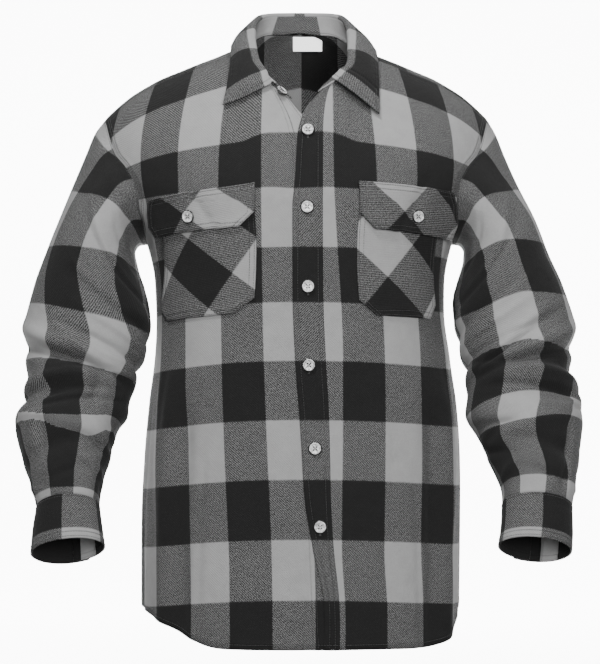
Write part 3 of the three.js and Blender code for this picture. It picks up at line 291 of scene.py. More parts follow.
def unit(v: Array) -> Array:
    """The vectors at length 1."""
    return v / np.maximum(np.linalg.norm(v, axis=-1, keepdims=True), 1e-9)


@dataclass(frozen=True)
class BodyFold:
    """A soft ridge or trough on the body: degrees from the front, and levels over the surface."""

    angle: float
    top: float
    low: float
    width: float
    height: float
    drift: float = 0.0
    fade: float = 90.0

    def at(self, degrees: Array, level: Array) -> Array:
        """Height of the fold.

        Args:
            degrees: angles round the body.
            level: levels on the body.

        Returns:
            The height there in millimetres.
        """
        along = smooth(level, self.low - self.fade, self.low)
        along = along * (1 - smooth(level, self.top - self.fade, self.top))
        middle = self.angle + self.drift * (level - self.top) / (self.low - self.top)
        return self.height * along * bell((degrees - middle) / self.width)


@dataclass(frozen=True)
class SleeveFold:
    """A soft slanting ridge or trough across a sleeve: degrees from its outer line through the front."""

    along: float
    angle: float
    slant: float
    reach: float
    width: float
    height: float

    def at(self, along: Array, degrees: Array) -> Array:
        """Height of the fold.

        Args:
            along: distances down the sleeve.
            degrees: angles round it.

        Returns:
            The height there in millimetres.
        """
        off = (degrees - self.angle + 540) % 360 - 180
        across = (along - self.along - off / self.reach * self.slant) / self.width
        return self.height * bell(across) * bell(off / self.reach)


def body_folds(*rows: tuple[float, ...]) -> list[BodyFold]:
    """Folds from rows of angle, top, low, width, height, drift and fade."""
    return [BodyFold(*row) for row in rows]


def sleeve_folds(*rows: tuple[float, ...]) -> list[SleeveFold]:
    """Folds from rows of along, angle, slant, reach, width and height."""
    return [SleeveFold(*row) for row in rows]


# Folds that the solids have too
LARGE_BODY_FOLDS = body_folds(
    (-44, -420, -700, 5, -5), (-56, -380, -740, 5, 5), (52, -420, -720, 5, -5), (64, -400, -760, 5, 5),
    (-152, -240, -700, 6, 6), (158, -260, -720, 6, 6), (128, -300, -740, 6, -6),
    (-124, -320, -720, 6, -5),
)
LARGE_SLEEVE_FOLDS = sleeve_folds(
    (268, 60, 26, 70, 13, 7), (296, 70, 22, 80, 10, -9), (330, 40, -20, 80, 12, 9),
    (352, 60, -14, 70, 9, -8), (400, 110, 18, 70, 12, 5), (428, 60, -16, 60, 11, -5),
    (210, 150, 30, 60, 13, -5), (300, 230, 24, 80, 12, -8), (340, 250, -20, 80, 12, 7),
    (400, 280, 16, 70, 12, -5),
)
# Finer creases
FINE_BODY_FOLDS = body_folds(
    (-26, -330, -560, 2.6, 1.6, 4), (-33, -470, -730, 2.2, -1.8, -3), (-68, -300, -520, 3.0, 2.6, 6),
    (-74, -420, -690, 2.6, -2.4, -4), (-38, -140, -215, 3.0, -2.2, 8, 50),
    (-58, -120, -260, 2.8, 2.0, -10, 60), (30, -360, -600, 2.4, 1.5, -4), (41, -500, -745, 2.2, -1.7, 4),
    (73, -310, -560, 2.8, 2.4, -6), (80, -450, -700, 2.4, -2.2, 3), (44, -135, -220, 3.0, -2.0, -8, 50),
    (60, -125, -255, 2.6, 1.8, 9, 60), (-168, -220, -520, 3.4, 2.4, 5), (172, -300, -640, 3.2, -2.2, -6),
    (143, -200, -480, 3.2, 2.6, 7), (-139, -230, -560, 3.0, -2.4, -5), (-108, -280, -600, 3.0, 2.0, 4),
    (110, -330, -660, 2.8, 2.2, -4),
)
FINE_SLEEVE_FOLDS = {
    Side.RIGHT: sleeve_folds(
        (60, 120, 34, 40, 9, -3.0), (92, 100, 40, 44, 8, 2.4), (132, 130, 36, 46, 8, -3.2),
        (176, 110, 30, 40, 8, 2.6), (238, 140, 26, 46, 7, 3.2), (258, 110, 22, 50, 6, -3.4),
        (282, 130, 12, 44, 6, 3.0), (312, 90, -10, 46, 6, -3.0), (366, 80, -14, 60, 6, -6.0),
        (356, 30, -10, 50, 7, 5.0), (388, 150, 14, 36, 6, 3.4), (412, 160, -12, 34, 6, -3.6),
        (440, 140, 10, 36, 6, 3.0), (456, 90, -8, 30, 5, -2.4), (466, 20, 6, 26, 5, 2.2),
        (84, 250, 30, 50, 10, -2.8), (150, 270, 26, 50, 9, 3.0), (230, 290, 20, 46, 8, -3.0),
        (322, 310, -18, 44, 8, 3.2), (372, 300, -12, 50, 7, -4.0), (436, 250, 10, 40, 6, 2.8),
        (274, 95, 30, 26, 9, 5.5), (291, 80, 16, 40, 5, -5.0), (335, 118, 0, 7, 34, -4.5),
        (335, 103, 0, 8, 30, 2.5), (404, 62, 0, 8, 24, -4.5), (392, 130, 10, 22, 8, 5.5),
        (411, 126, 8, 26, 5, -5.0), (378, 40, -8, 30, 6, 4.0),
    ),
    Side.LEFT: sleeve_folds(
        (54, 112, 36, 40, 9, -2.8), (100, 96, 38, 42, 8, 2.6), (140, 124, 34, 48, 8, -3.0),
        (188, 100, 28, 42, 8, 2.4), (232, 136, 24, 44, 7, 3.4), (252, 104, 20, 52, 6, -3.6),
        (276, 126, 10, 42, 6, 2.8), (306, 84, -12, 48, 6, -3.2), (362, 76, -12, 60, 6, -5.6),
        (350, 34, -12, 50, 7, 4.6), (392, 146, 12, 38, 6, 3.2), (418, 156, -10, 34, 6, -3.4),
        (444, 134, 12, 36, 6, 2.8), (458, 84, -8, 28, 5, -2.6), (468, 16, 6, 26, 5, 2.0),
        (90, 244, 28, 50, 10, -3.0), (158, 266, 24, 52, 9, 2.8), (224, 284, 22, 46, 8, -3.2),
        (316, 304, -16, 46, 8, 3.0), (368, 296, -12, 50, 7, -4.2), (430, 244, 12, 40, 6, 3.0),
        (256, 108, 24, 30, 10, 5.5), (276, 110, 26, 34, 6, -5.5), (428, 44, 0, 7, 34, -4.5),
        (372, 140, 0, 24, 12, 5.0), (388, 132, -6, 26, 5, -5.0), (468, 52, 0, 6, 14, -3.0),
        (366, 40, 8, 28, 6, 4.5),
    ),
}


@dataclass(frozen=True)
class Form:
    """The body's surface: turn is the angle from the middle, over the distance over the shoulder's ridge."""

    chest: float = -200.0
    ridge: float = 40.0
    underarm: float = -250.0
    armhole_foot: float = -170.0
    tip_reach: float = 262.0
    bend_centre: float = 1.4
    bend_tip: float = 1.9
    bend_back: float = 2.2

    def lean(self, side: Array | float, level: Array) -> Array:
        """How much wider or narrower the body stands on a side, whose sign is given, at a level."""
        return 1 - side * TORSO.lean(level)

    def point(self, turn: Array, over: Array, fine: bool = True) -> Array:
        """Points on the body.

        Args:
            turn: angles from the middle, positive to the wearer's left.
            over: distances over the ridge, forward of it positive.
            fine: whether the finer creases are on.

        Returns:
            Points in millimetres, in a last axis of three.
        """
        side = np.where(turn < 0, -1.0, 1.0)
        angle = np.abs(turn)
        past = angle > QUARTER
        angle = np.where(past, math.pi - angle, angle)
        over = np.where(past, -over, over)
        back = over < 0
        level = self.ridge - np.abs(over)
        power = 2 / TORSO.square(level)
        reach = np.sin(angle) ** power
        deep = np.maximum(np.cos(angle), 0) ** power
        degrees = side * np.degrees(np.where(back, math.pi - angle, angle))
        fold = sum(f.at(degrees, level) for f in LARGE_BODY_FOLDS)
        if fine:
            fold = fold + sum(f.at(degrees, level) for f in FINE_BODY_FOLDS)
        x = side * reach * (TORSO.width(level) * self.lean(side, level) + fold)
        depth = deep * np.where(back, TORSO.back(level) + fold, -TORSO.front(level) - fold)
        theta = np.clip((level - self.chest) / (self.ridge - self.chest), 0, 1) * QUARTER
        bend = np.where(back, self.bend_back, self.bend_centre + (self.bend_tip - self.bend_centre) * reach)
        rise = np.sin(theta) ** (2 / bend)
        fall = np.maximum(np.cos(theta), 0) ** (2 / bend)
        top = SHOULDER(self.tip_reach * reach)
        z = np.where(level <= self.chest, level, self.chest + (top - self.chest) * rise)
        y = depth * np.where(level <= self.chest, 1.0, fall)
        return np.stack([x, y, z], axis=-1)

    def frame(self, turn: Array, over: Array, fine: bool = True) -> tuple[Array, Array]:
        """Points on the body with their outward normals.

        Args:
            turn: angles from the middle.
            over: distances over the ridge.
            fine: whether the finer creases are on.

        Returns:
            Points and unit normals.
        """
        step = 0.008
        across = self.point(turn + step, over, fine) - self.point(turn - step, over, fine)
        up = self.point(turn, over - 1, fine) - self.point(turn, over + 1, fine)
        return self.point(turn, over, fine), unit(np.cross(across, up))

    def turn_at(self, x: Array, over: Array) -> Array:
        """The angle at which the body is as wide as x.

        Args:
            x: distances from the middle.
            over: distances over the ridge.

        Returns:
            Angles from the middle.
        """
        side = np.where(np.asarray(x) < 0, -1.0, 1.0)
        level = self.ridge - np.abs(over)
        reach = np.minimum(np.abs(x) / (TORSO.width(level) * self.lean(side, level)), 1)
        return side * np.arcsin(reach ** (TORSO.square(level) / 2))

    def over_at(self, x: Array, z: Array) -> Array:
        """The distance over the ridge of the place on the front seen at x and z.

        Args:
            x: distances from the middle.
            z: heights.

        Returns:
            Distances over the ridge.
        """
        level = np.array(z, float)
        for _ in range(10):
            angle = np.abs(self.turn_at(x, self.ridge - level))
            reach = np.sin(angle) ** (2 / TORSO.square(level))
            bend = self.bend_centre + (self.bend_tip - self.bend_centre) * reach
            share = (z - self.chest) / (SHOULDER(self.tip_reach * reach) - self.chest)
            bent = np.arcsin(np.clip(share, 0, 1) ** (bend / 2)) / QUARTER
            level = np.where(z > self.chest, self.chest + bent * (self.ridge - self.chest), z)
        return self.ridge - level


FORM = Form()


def spread(values: Array, splits: Sequence[int], factor: int) -> Array:
    """Puts more rows between the rows of a grid, on smooth curves that start anew at each split.

    Args:
        values: the grid, its rows first.
        splits: rows at which a corner stands, the first and last among them.
        factor: how many spans each span becomes.

    Returns:
        The closer grid.
    """
    parts = []
    for start, end in zip(splits[:-1], splits[1:]):
        part = values[start : end + 1]
        before = 2 * part[:1] - part[1:2]
        after = 2 * part[-1:] - part[-2:-1]
        padded = np.concatenate([before, part, after])
        for i in range(len(part) - 1):
            a, b, c, d = padded[i : i + 4]
            for k in range(factor):
                t = k / factor
                blend = (
                    2 * b + (c - a) * t + (2 * a - 5 * b + 4 * c - d) * t**2 + (3 * b - a - 3 * c + d) * t**3
                )
                parts.append(blend / 2)
    parts.append(values[splits[-1]])
    return np.array(parts)


def spread_both(
    grid: Array, row_splits: Sequence[int], column_splits: Sequence[int], rows: int, columns: int
) -> Array:
    """Spreads a grid's rows and then its columns, keeping a corner at each split."""
    tall = spread(grid, row_splits, rows)
    return np.swapaxes(spread(np.swapaxes(tall, 0, 1), column_splits, columns), 0, 1)


@dataclass(frozen=True)
class Layout:
    """How the cut pieces' rows and columns stand on the body, as in the part's source."""

    body_levels: tuple[float, ...] = (0, 0.12, 0.24, 0.36, 0.48, 0.6, 0.68, 0.755, 0.82, 0.88, 0.94, 1)
    bowl_rows: int = 4
    front_arm_rows: int = 6
    back_arm_rows: int = 2
    neck_columns: int = 4
    band_columns: int = 3
    shoulder_columns: int = 8
    yoke_neck_columns: int = 14
    yoke_rows: int = 8
    yoke_front: float = 2.0
    yoke_back: float = -127.0
    yoke_dip: float = 22.0

    @property
    def body_rows(self) -> int:
        """Spans from the hem to the underarm."""
        return len(self.body_levels) - 1

    @property
    def half_columns(self) -> int:
        """Columns of the back and yoke on one side of the middle."""
        return self.shoulder_columns + self.yoke_neck_columns // 2

    @property
    def shares(self) -> Array:
        """Shares of the half turn at which the back's columns stand."""
        return np.arange(-self.half_columns, self.half_columns + 1) / self.half_columns

    @property
    def across_splits(self) -> list[int]:
        """Columns of the back and yoke at which a corner stands."""
        first, last = self.shoulder_columns, self.shoulder_columns + self.yoke_neck_columns
        return [0, first, last, 2 * self.half_columns]

    def arm_levels(self, top: float, count: int) -> list[float]:
        """Levels of the armhole's rows, from the underarm up to a top seam.

        Args:
            top: the seam's level.
            count: rows above the armhole's foot.

        Returns:
            The levels.
        """
        bowl = [k / self.bowl_rows for k in range(self.bowl_rows + 1)]
        low = [FORM.underarm + (FORM.armhole_foot - FORM.underarm) * t * (0.4 + 0.6 * t) for t in bowl]
        high = [FORM.armhole_foot + (top - FORM.armhole_foot) * (k + 1) / count for k in range(count)]
        return low + high

    def yoke_overs(self) -> Array:
        """Distances over the ridge of the yoke's rows at the armhole."""
        return np.linspace(FORM.ridge - self.yoke_front, self.yoke_back - FORM.ridge, self.yoke_rows + 1)

    def armhole(self, side: Side) -> tuple[Array, Array, Array]:
        """Places of the armhole seam on the front, over the yoke, and down the back.

        Args:
            side: the wearer's side.

        Returns:
            Three arrays of (turn, over).
        """

        def place(over: float) -> tuple[float, float]:
            """The armhole's angle at a distance over the ridge, with that distance.

            Args:
                over: the distance over the ridge.

            Returns:
                The angle, and the distance.
            """
            level = FORM.ridge - abs(over)
            edge = ARMHOLE.back if over < 0 else ARMHOLE.front
            x = float(edge(level)) * float(FORM.lean(side.value, level))
            if level == FORM.underarm:
                return side.value * QUARTER, over
            return float(FORM.turn_at(side.value * x, over)), over

        fore = [place(FORM.ridge - level) for level in self.arm_levels(self.yoke_front, self.front_arm_rows)]
        rear = [place(level - FORM.ridge) for level in self.arm_levels(self.yoke_back, self.back_arm_rows)]
        return np.array(fore), np.array([place(over) for over in self.yoke_overs()]), np.array(rear)

    def joins(self, side: Side) -> tuple[float, float]:
        """Places round the collar where the neck seam meets a band's seam and the yoke."""
        return (0.95, 0.79) if side is Side.LEFT else (0.07, 0.21)

    def neck(self, place: float) -> tuple[float, float]:
        """The place on the body of the neck seam, as (turn, over), at a place round the collar."""
        over = float(COLLAR.over(place))
        return float(FORM.turn_at(float(COLLAR.seamX(place)), over)), over

    def front_top(self, side: Side) -> Array:
        """The top row of a front, round the neck and then along the yoke's seam.

        Args:
            side: the wearer's side.

        Returns:
            An array of (turn, over).
        """
        band, join = self.joins(side)
        neck = [self.neck(place) for place in np.linspace(band, join, self.neck_columns + 1)]
        end = self.armhole(side)[0][-1][0]
        turns = np.linspace(neck[-1][0], end, self.shoulder_columns + 1)[1:]
        return np.array(neck + [(turn, FORM.ridge - self.yoke_front) for turn in turns])

    def front(self, side: Side) -> Array:
        """Places of a front panel's rows and columns.

        Args:
            side: the wearer's side.

        Returns:
            A grid of (turn, over).
        """
        hem = HEM.left if side is Side.LEFT else HEM.right
        edge = BAND_EDGES[side]

        def inner(level: float) -> float:
            """The angle of the front's inner edge at a level."""
            return float(FORM.turn_at(float(edge.seamX(level)), FORM.ridge - level))

        top = self.front_top(side)
        shares = (top[:, 0] - top[0, 0]) / (top[-1, 0] - top[0, 0])
        quarter = side.value * QUARTER
        low = inner(HEM_LEVEL)
        rows = []
        for v in self.body_levels:
            hems = hem(np.degrees(np.abs(low + (quarter - low) * shares)))
            levels = hems + (FORM.underarm - hems) * v
            start = inner(float(levels[0]))
            rows.append(np.stack([start + (quarter - start) * shares, FORM.ridge - levels], axis=-1))
        arm = self.armhole(side)[0]
        for turn, over in arm[1 : self.bowl_rows + 1]:
            start = inner(FORM.ridge - over)
            rows.append(np.stack([start + (turn - start) * shares, np.full_like(shares, over)], axis=-1))
        foot = rows[-1]
        for turn, over in arm[self.bowl_rows + 1 :]:
            t = (FORM.ridge - over - FORM.armhole_foot) / (self.yoke_front - FORM.armhole_foot)
            turns = foot[:, 0] + (top[:, 0] - foot[:, 0]) * t
            overs = FORM.ridge - FORM.armhole_foot + (top[:, 1] - FORM.ridge + FORM.armhole_foot) * t
            inward = inner(FORM.ridge - overs[0]) - turns[0]
            outward = turn - turns[-1]
            rows.append(np.stack([turns + inward * (1 - shares) + outward * shares, overs], axis=-1))
        return np.array(rows)

    def front_splits(self) -> tuple[list[int], list[int]]:
        """Rows and columns of a front at which a corner stands."""
        rows = self.body_rows + self.bowl_rows + self.front_arm_rows
        return [0, self.body_rows, rows], [0, self.neck_columns, self.neck_columns + self.shoulder_columns]

    def yoke_back_over(self, share: Array) -> Array:
        """Distance over the ridge of the yoke's back seam, at shares of the half turn."""
        return self.yoke_back - self.yoke_dip * (1 - smooth(share, 0.03, 0.4)) - FORM.ridge

    def back(self) -> Array:
        """Places of the back's rows and columns.

        Returns:
            A grid of (turn, over).
        """
        shares = self.shares
        size = np.abs(shares)
        rows = []
        for v in self.body_levels:
            hems = HEM.back(size * 90)
            rows.append(np.stack([shares * QUARTER, hems + (FORM.underarm - hems) * v - FORM.ridge], axis=-1))
        left, right = self.armhole(Side.LEFT)[2], self.armhole(Side.RIGHT)[2]
        for (turn, over), (other, _) in zip(left[1:], right[1:]):
            low = FORM.armhole_foot - FORM.ridge
            t = max((over - low) / (self.yoke_back - FORM.ridge - low), 0)
            overs = over + t * (self.yoke_back_over(size) - (self.yoke_back - FORM.ridge))
            rows.append(np.stack([size * np.where(shares < 0, other, turn), overs], axis=-1))
        return np.array(rows)

    def yoke(self) -> Array:
        """Places of the yoke's rows and columns, from its front seams and the neck hole to its back seam.

        Returns:
            A grid of (turn, over).
        """
        right = self.front_top(Side.RIGHT)[self.neck_columns :][::-1]
        left = self.front_top(Side.LEFT)[self.neck_columns :]
        ends = self.joins(Side.RIGHT)[1], self.joins(Side.LEFT)[1]
        places = np.linspace(*ends, self.yoke_neck_columns + 1)[1:-1]
        top = np.concatenate([right, np.array([self.neck(place) for place in places]), left])
        shares = self.shares
        size = np.abs(shares)
        edges = {side: self.armhole(side)[1] for side in Side}
        rows = []
        for i in range(self.yoke_rows + 1):
            t = i / self.yoke_rows
            low = size * np.where(shares < 0, edges[Side.RIGHT][-1, 0], edges[Side.LEFT][-1, 0])
            turn = top[:, 0] + (low - top[:, 0]) * t
            row = np.stack([turn, top[:, 1] + (self.yoke_back_over(size) - top[:, 1]) * t], axis=-1)
            row[0] = edges[Side.RIGHT][i]
            row[-1] = edges[Side.LEFT][i]
            rows.append(row)
        return np.array(rows)


LAYOUT = Layout()


# How far the check's upright bands turn about each arm, in degrees, by distances down it
SLEEVE_SHIFTS = {
    Side.RIGHT: Curve((0, 150, 265, 320, 410, 465, 484), (0, 0, 18, 10, 25, 18, 16)),
    Side.LEFT: Curve((0, 150, 265, 320, 410, 465, 484), (0, -4, -12, -19, 3, -7, -7)),
}
# Distances down each sleeve of the check's rows below the elbow, by angles round it
SLEEVE_ROWS = {
    Side.RIGHT: Table(
        "angle fourth fifth sixth seventh",
        [
            (0, 296, 370, 384, 474), (20, 296, 371, 384, 474), (45, 298, 378, 386, 474),
            (64, 300, 384, 390, 474), (85, 303, 387, 401, 475), (105, 305, 385, 405, 475),
            (125, 307, 381, 407, 474), (145, 309, 373, 393, 474), (180, 310, 370, 388, 474),
        ],
    ),
    Side.LEFT: Table(
        "angle fourth fifth sixth seventh",
        [
            (0, 286, 361, 383, 461), (30, 283, 358, 384, 461), (55, 279, 356, 386, 462),
            (75, 273, 355, 389, 462), (95, 266, 354, 392, 461), (121, 272, 355, 392, 460),
            (150, 278, 358, 391, 460), (180, 280, 360, 388, 460),
        ],
    ),
}


class Edge(Enum):
    """An edge of a cloth's grid: along its rows' ends, or its first and last rows."""

    FIRST = "first"
    LAST = "last"
    LOW = "low"
    HIGH = "high"


@dataclass(frozen=True)
class Seam:
    """A line of topstitching that runs beside an edge."""

    edge: Edge
    inset: float
    start: float = 0.0
    end: float = 1.0


@dataclass
class Cloth:
    """A piece of cloth as a grid of points with normals and its place in the check, in bands."""

    points: Array
    normals: Array
    check: Array
    closed: bool = False
    seams: Sequence[Seam] = ()
    lining: Array | None = None

    def run(self, edge: Edge) -> Array:
        """Distances over the cloth from an edge, in the grid's own order.

        Args:
            edge: the edge that is measured from.

        Returns:
            A grid of distances in millimetres.
        """
        axis = 1 if edge in (Edge.FIRST, Edge.LAST) else 0
        points = self.points if edge in (Edge.FIRST, Edge.LOW) else np.flip(self.points, axis)
        lengths = np.linalg.norm(np.diff(points, axis=axis), axis=-1)
        start = np.zeros((points.shape[0], 1)) if axis else np.zeros((1, points.shape[1]))
        total = np.concatenate([start, np.cumsum(lengths, axis=axis)], axis=axis)
        return total if edge in (Edge.FIRST, Edge.LOW) else np.flip(total, axis)

    def stitch_distance(self) -> Array:
        """Distance of each point from the nearest line of topstitching.

        Returns:
            Distances in millimetres, at most 20.
        """
        nearest = np.full(self.points.shape[:2], 20.0)
        for seam in self.seams:
            nearest = np.minimum(nearest, np.abs(self.run(seam.edge) - seam.inset))
        return nearest

    def line(self, seam: Seam, lift: float) -> tuple[Array, Array]:
        """The path of a line of topstitching on the outer face.

        Args:
            seam: the line.
            lift: how far the path lies above the middle of the cloth.

        Returns:
            Its points and the cloth's normals there.
        """
        distance = self.run(seam.edge)
        grid, normals = self.points, self.normals
        if seam.edge in (Edge.LOW, Edge.HIGH):
            distance, grid, normals = distance.T, np.swapaxes(grid, 0, 1), np.swapaxes(normals, 0, 1)
        if seam.edge in (Edge.LAST, Edge.HIGH):
            distance, grid, normals = distance[:, ::-1], grid[:, ::-1], normals[:, ::-1]
        count = len(grid)
        chosen = range(int(seam.start * (count - 1)), int(seam.end * (count - 1)) + 1)
        path, facing = [], []
        for i in chosen:
            k = int(np.clip(np.searchsorted(distance[i], seam.inset), 1, distance.shape[1] - 1))
            low, high = distance[i, k - 1], distance[i, k]
            t = float(np.clip((seam.inset - low) / max(high - low, 1e-6), 0, 1))
            normal = unit(normals[i, k - 1] * (1 - t) + normals[i, k] * t)
            path.append(grid[i, k - 1] * (1 - t) + grid[i, k] * t + normal * lift)
            facing.append(normal)
        return np.array(path), np.array(facing)

    def mesh(self, name: str, thickness: float) -> bpy.types.Mesh:
        """A closed wall of even thickness, with rounded edges.

        Args:
            name: the mesh's name.
            thickness: the wall's thickness in millimetres.

        Returns:
            The mesh, in metres, with a UV map and the distance to the topstitching.
        """
        rows, columns = self.points.shape[:2]
        wide = columns - 1 if self.closed else columns
        half = thickness / 2
        outer = (self.points + self.normals * half)[:, :wide]
        inner = (self.points - self.normals * half)[:, :wide]
        vertices = [outer.reshape(-1, 3), inner.reshape(-1, 3)]
        lining = self.check if self.lining is None else self.lining
        texture = np.concatenate([self.check.reshape(-1, 2), lining.reshape(-1, 2)])
        stitch = self.stitch_distance()[:, :wide].reshape(-1)
        faces, maps = [], []

        def vertex(i: Array, j: Array) -> Array:
            """Where the mesh's vertex for a row and column stands in the list."""
            return i * wide + j % wide

        def place(i: Array, j: Array) -> Array:
            """Where the grid's point for a row and column stands in the list."""
            return i * columns + j

        i, j = np.meshgrid(np.arange(rows - 1), np.arange(columns - 1), indexing="ij")
        i, j = i.reshape(-1), j.reshape(-1)
        corners = [(i, j), (i, j + 1), (i + 1, j + 1), (i + 1, j)]
        quads = np.stack([vertex(a, b) for a, b in corners], axis=-1)
        spots = np.stack([place(a, b) for a, b in corners], axis=-1)
        across = self.points[1, 0] - self.points[0, 0]
        along = self.points[0, 1] - self.points[0, 0]
        if np.dot(np.cross(along, across), self.normals[0, 0]) < 0:
            quads, spots = quads[:, ::-1], spots[:, ::-1]
        faces += [quads, quads[:, ::-1] + rows * wide]
        maps += [spots, spots[:, ::-1] + rows * columns]
        count = 2 * rows * wide
        extra, extra_stitch = [], []

        def rim(line: Array, spot: Array, beyond: Array, loop: bool) -> None:
            """Closes one edge of the wall with a rounded rim.

            Args:
                line: the edge's vertices.
                spot: the grid's points there.
                beyond: the ways out past the edge.
                loop: whether the edge closes on itself.
            """
            nonlocal count
            middle = self.points.reshape(-1, 3)[spot] + beyond * half * 0.6
            rim_index = count + np.arange(len(line))
            if loop:
                middle = middle[:-1]
                rim_index = np.append(rim_index[:-1], rim_index[0])
            extra.append(middle)
            extra_stitch.append(np.full(len(middle), 20.0))
            count += len(middle)
            a, b = np.arange(len(line) - 1), np.arange(1, len(line))
            up = np.stack([line[a], rim_index[a], rim_index[b], line[b]], axis=-1)
            under = rows * wide
            down = np.stack([rim_index[a], line[a] + under, line[b] + under, rim_index[b]], axis=-1)
            mapped = np.stack([spot[a], spot[a], spot[b], spot[b]], axis=-1)
            normal = self.normals.reshape(-1, 3)[spot[0]]
            ahead = self.points.reshape(-1, 3)[spot[1]] - self.points.reshape(-1, 3)[spot[0]]
            if np.dot(np.cross(ahead, beyond[0]), normal) > 0:
                up, down, mapped = up[:, ::-1], down[:, ::-1], mapped[:, ::-1]
            faces.extend([up, down])
            maps.extend([mapped, mapped])

        def edge(index: list[tuple[int, int]], within: list[tuple[int, int]], loop: bool = False) -> None:
            """Finds the ways out of one edge and makes its rim.

            Args:
                index: rows and columns of the edge's points.
                within: rows and columns of the points one step inside it.
                loop: whether the edge closes on itself.
            """
            ii, jj = np.array(index).T
            ki, kj = np.array(within).T
            beyond = unit(self.points[ii, jj] - self.points[ki, kj])
            rim(vertex(ii, jj), place(ii, jj), beyond, loop)

        all_columns, all_rows = range(columns), range(rows)
        edge([(0, c) for c in all_columns], [(1, c) for c in all_columns], self.closed)
        edge([(rows - 1, c) for c in all_columns], [(rows - 2, c) for c in all_columns], self.closed)
        if not self.closed:
            edge([(r, 0) for r in all_rows], [(r, 1) for r in all_rows])
            edge([(r, columns - 1) for r in all_rows], [(r, columns - 2) for r in all_rows])
        verts = np.concatenate(vertices + extra) * MM
        polys, spots = np.concatenate(faces), np.concatenate(maps)
        mesh = bpy.data.meshes.new(name)
        mesh.from_pydata(verts.tolist(), [], polys.tolist())
        layer = mesh.uv_layers.new(name="cloth")
        layer.data.foreach_set("uv", texture[spots.reshape(-1)].reshape(-1).astype(np.float32))
        attribute = mesh.attributes.new("stitch", "FLOAT", "POINT")
        values = np.concatenate([stitch, stitch] + extra_stitch)
        attribute.data.foreach_set("value", values.astype(np.float32))
        weld(mesh)
        mesh.shade_smooth()
        return mesh


def weld(mesh: bpy.types.Mesh) -> None:
    """Merges the corners that the rims share, and turns every face outwards.

    Args:
        mesh: the mesh, which is changed.
    """
    built = bmesh.new()
    built.from_mesh(mesh)
    bmesh.ops.remove_doubles(built, verts=built.verts, dist=1e-6)
    holes = [edge for edge in built.edges if edge.is_boundary]
    bmesh.ops.holes_fill(built, edges=holes, sides=8)
    bmesh.ops.recalc_face_normals(built, faces=built.faces)
    built.to_mesh(mesh)
    built.free()


class Chart:
    """Distances over the body across each level, from the middle."""

    def __init__(self) -> None:
        """Measures the body on an even grid of levels and angles."""
        self.overs = np.linspace(-830, 830, 250)
        self.turns = np.linspace(-1.6, 1.6, 161)
        over, turn = np.meshgrid(self.overs, self.turns, indexing="ij")
        points = FORM.point(turn, over, fine=False)
        lengths = np.linalg.norm(np.diff(points, axis=1), axis=-1)
        total = np.concatenate([np.zeros((len(self.overs), 1)), np.cumsum(lengths, axis=1)], axis=1)
        self.run = total - total[:, len(self.turns) // 2][:, None]

    def across(self, turn: Array, over: Array) -> Array:
        """Distance over the body from the middle.

        Args:
            turn: angles from the middle.
            over: distances over the ridge.

        Returns:
            Distances in millimetres, positive to the wearer's left.
        """
        i = np.interp(over, self.overs, np.arange(len(self.overs)))
        j = np.interp(turn, self.turns, np.arange(len(self.turns)))
        i0 = np.clip(i.astype(int), 0, len(self.overs) - 2)
        j0 = np.clip(j.astype(int), 0, len(self.turns) - 2)
        a, b = i - i0, j - j0
        low = self.run[i0, j0] * (1 - b) + self.run[i0, j0 + 1] * b
        high = self.run[i0 + 1, j0] * (1 - b) + self.run[i0 + 1, j0 + 1] * b
        return low * (1 - a) + high * a


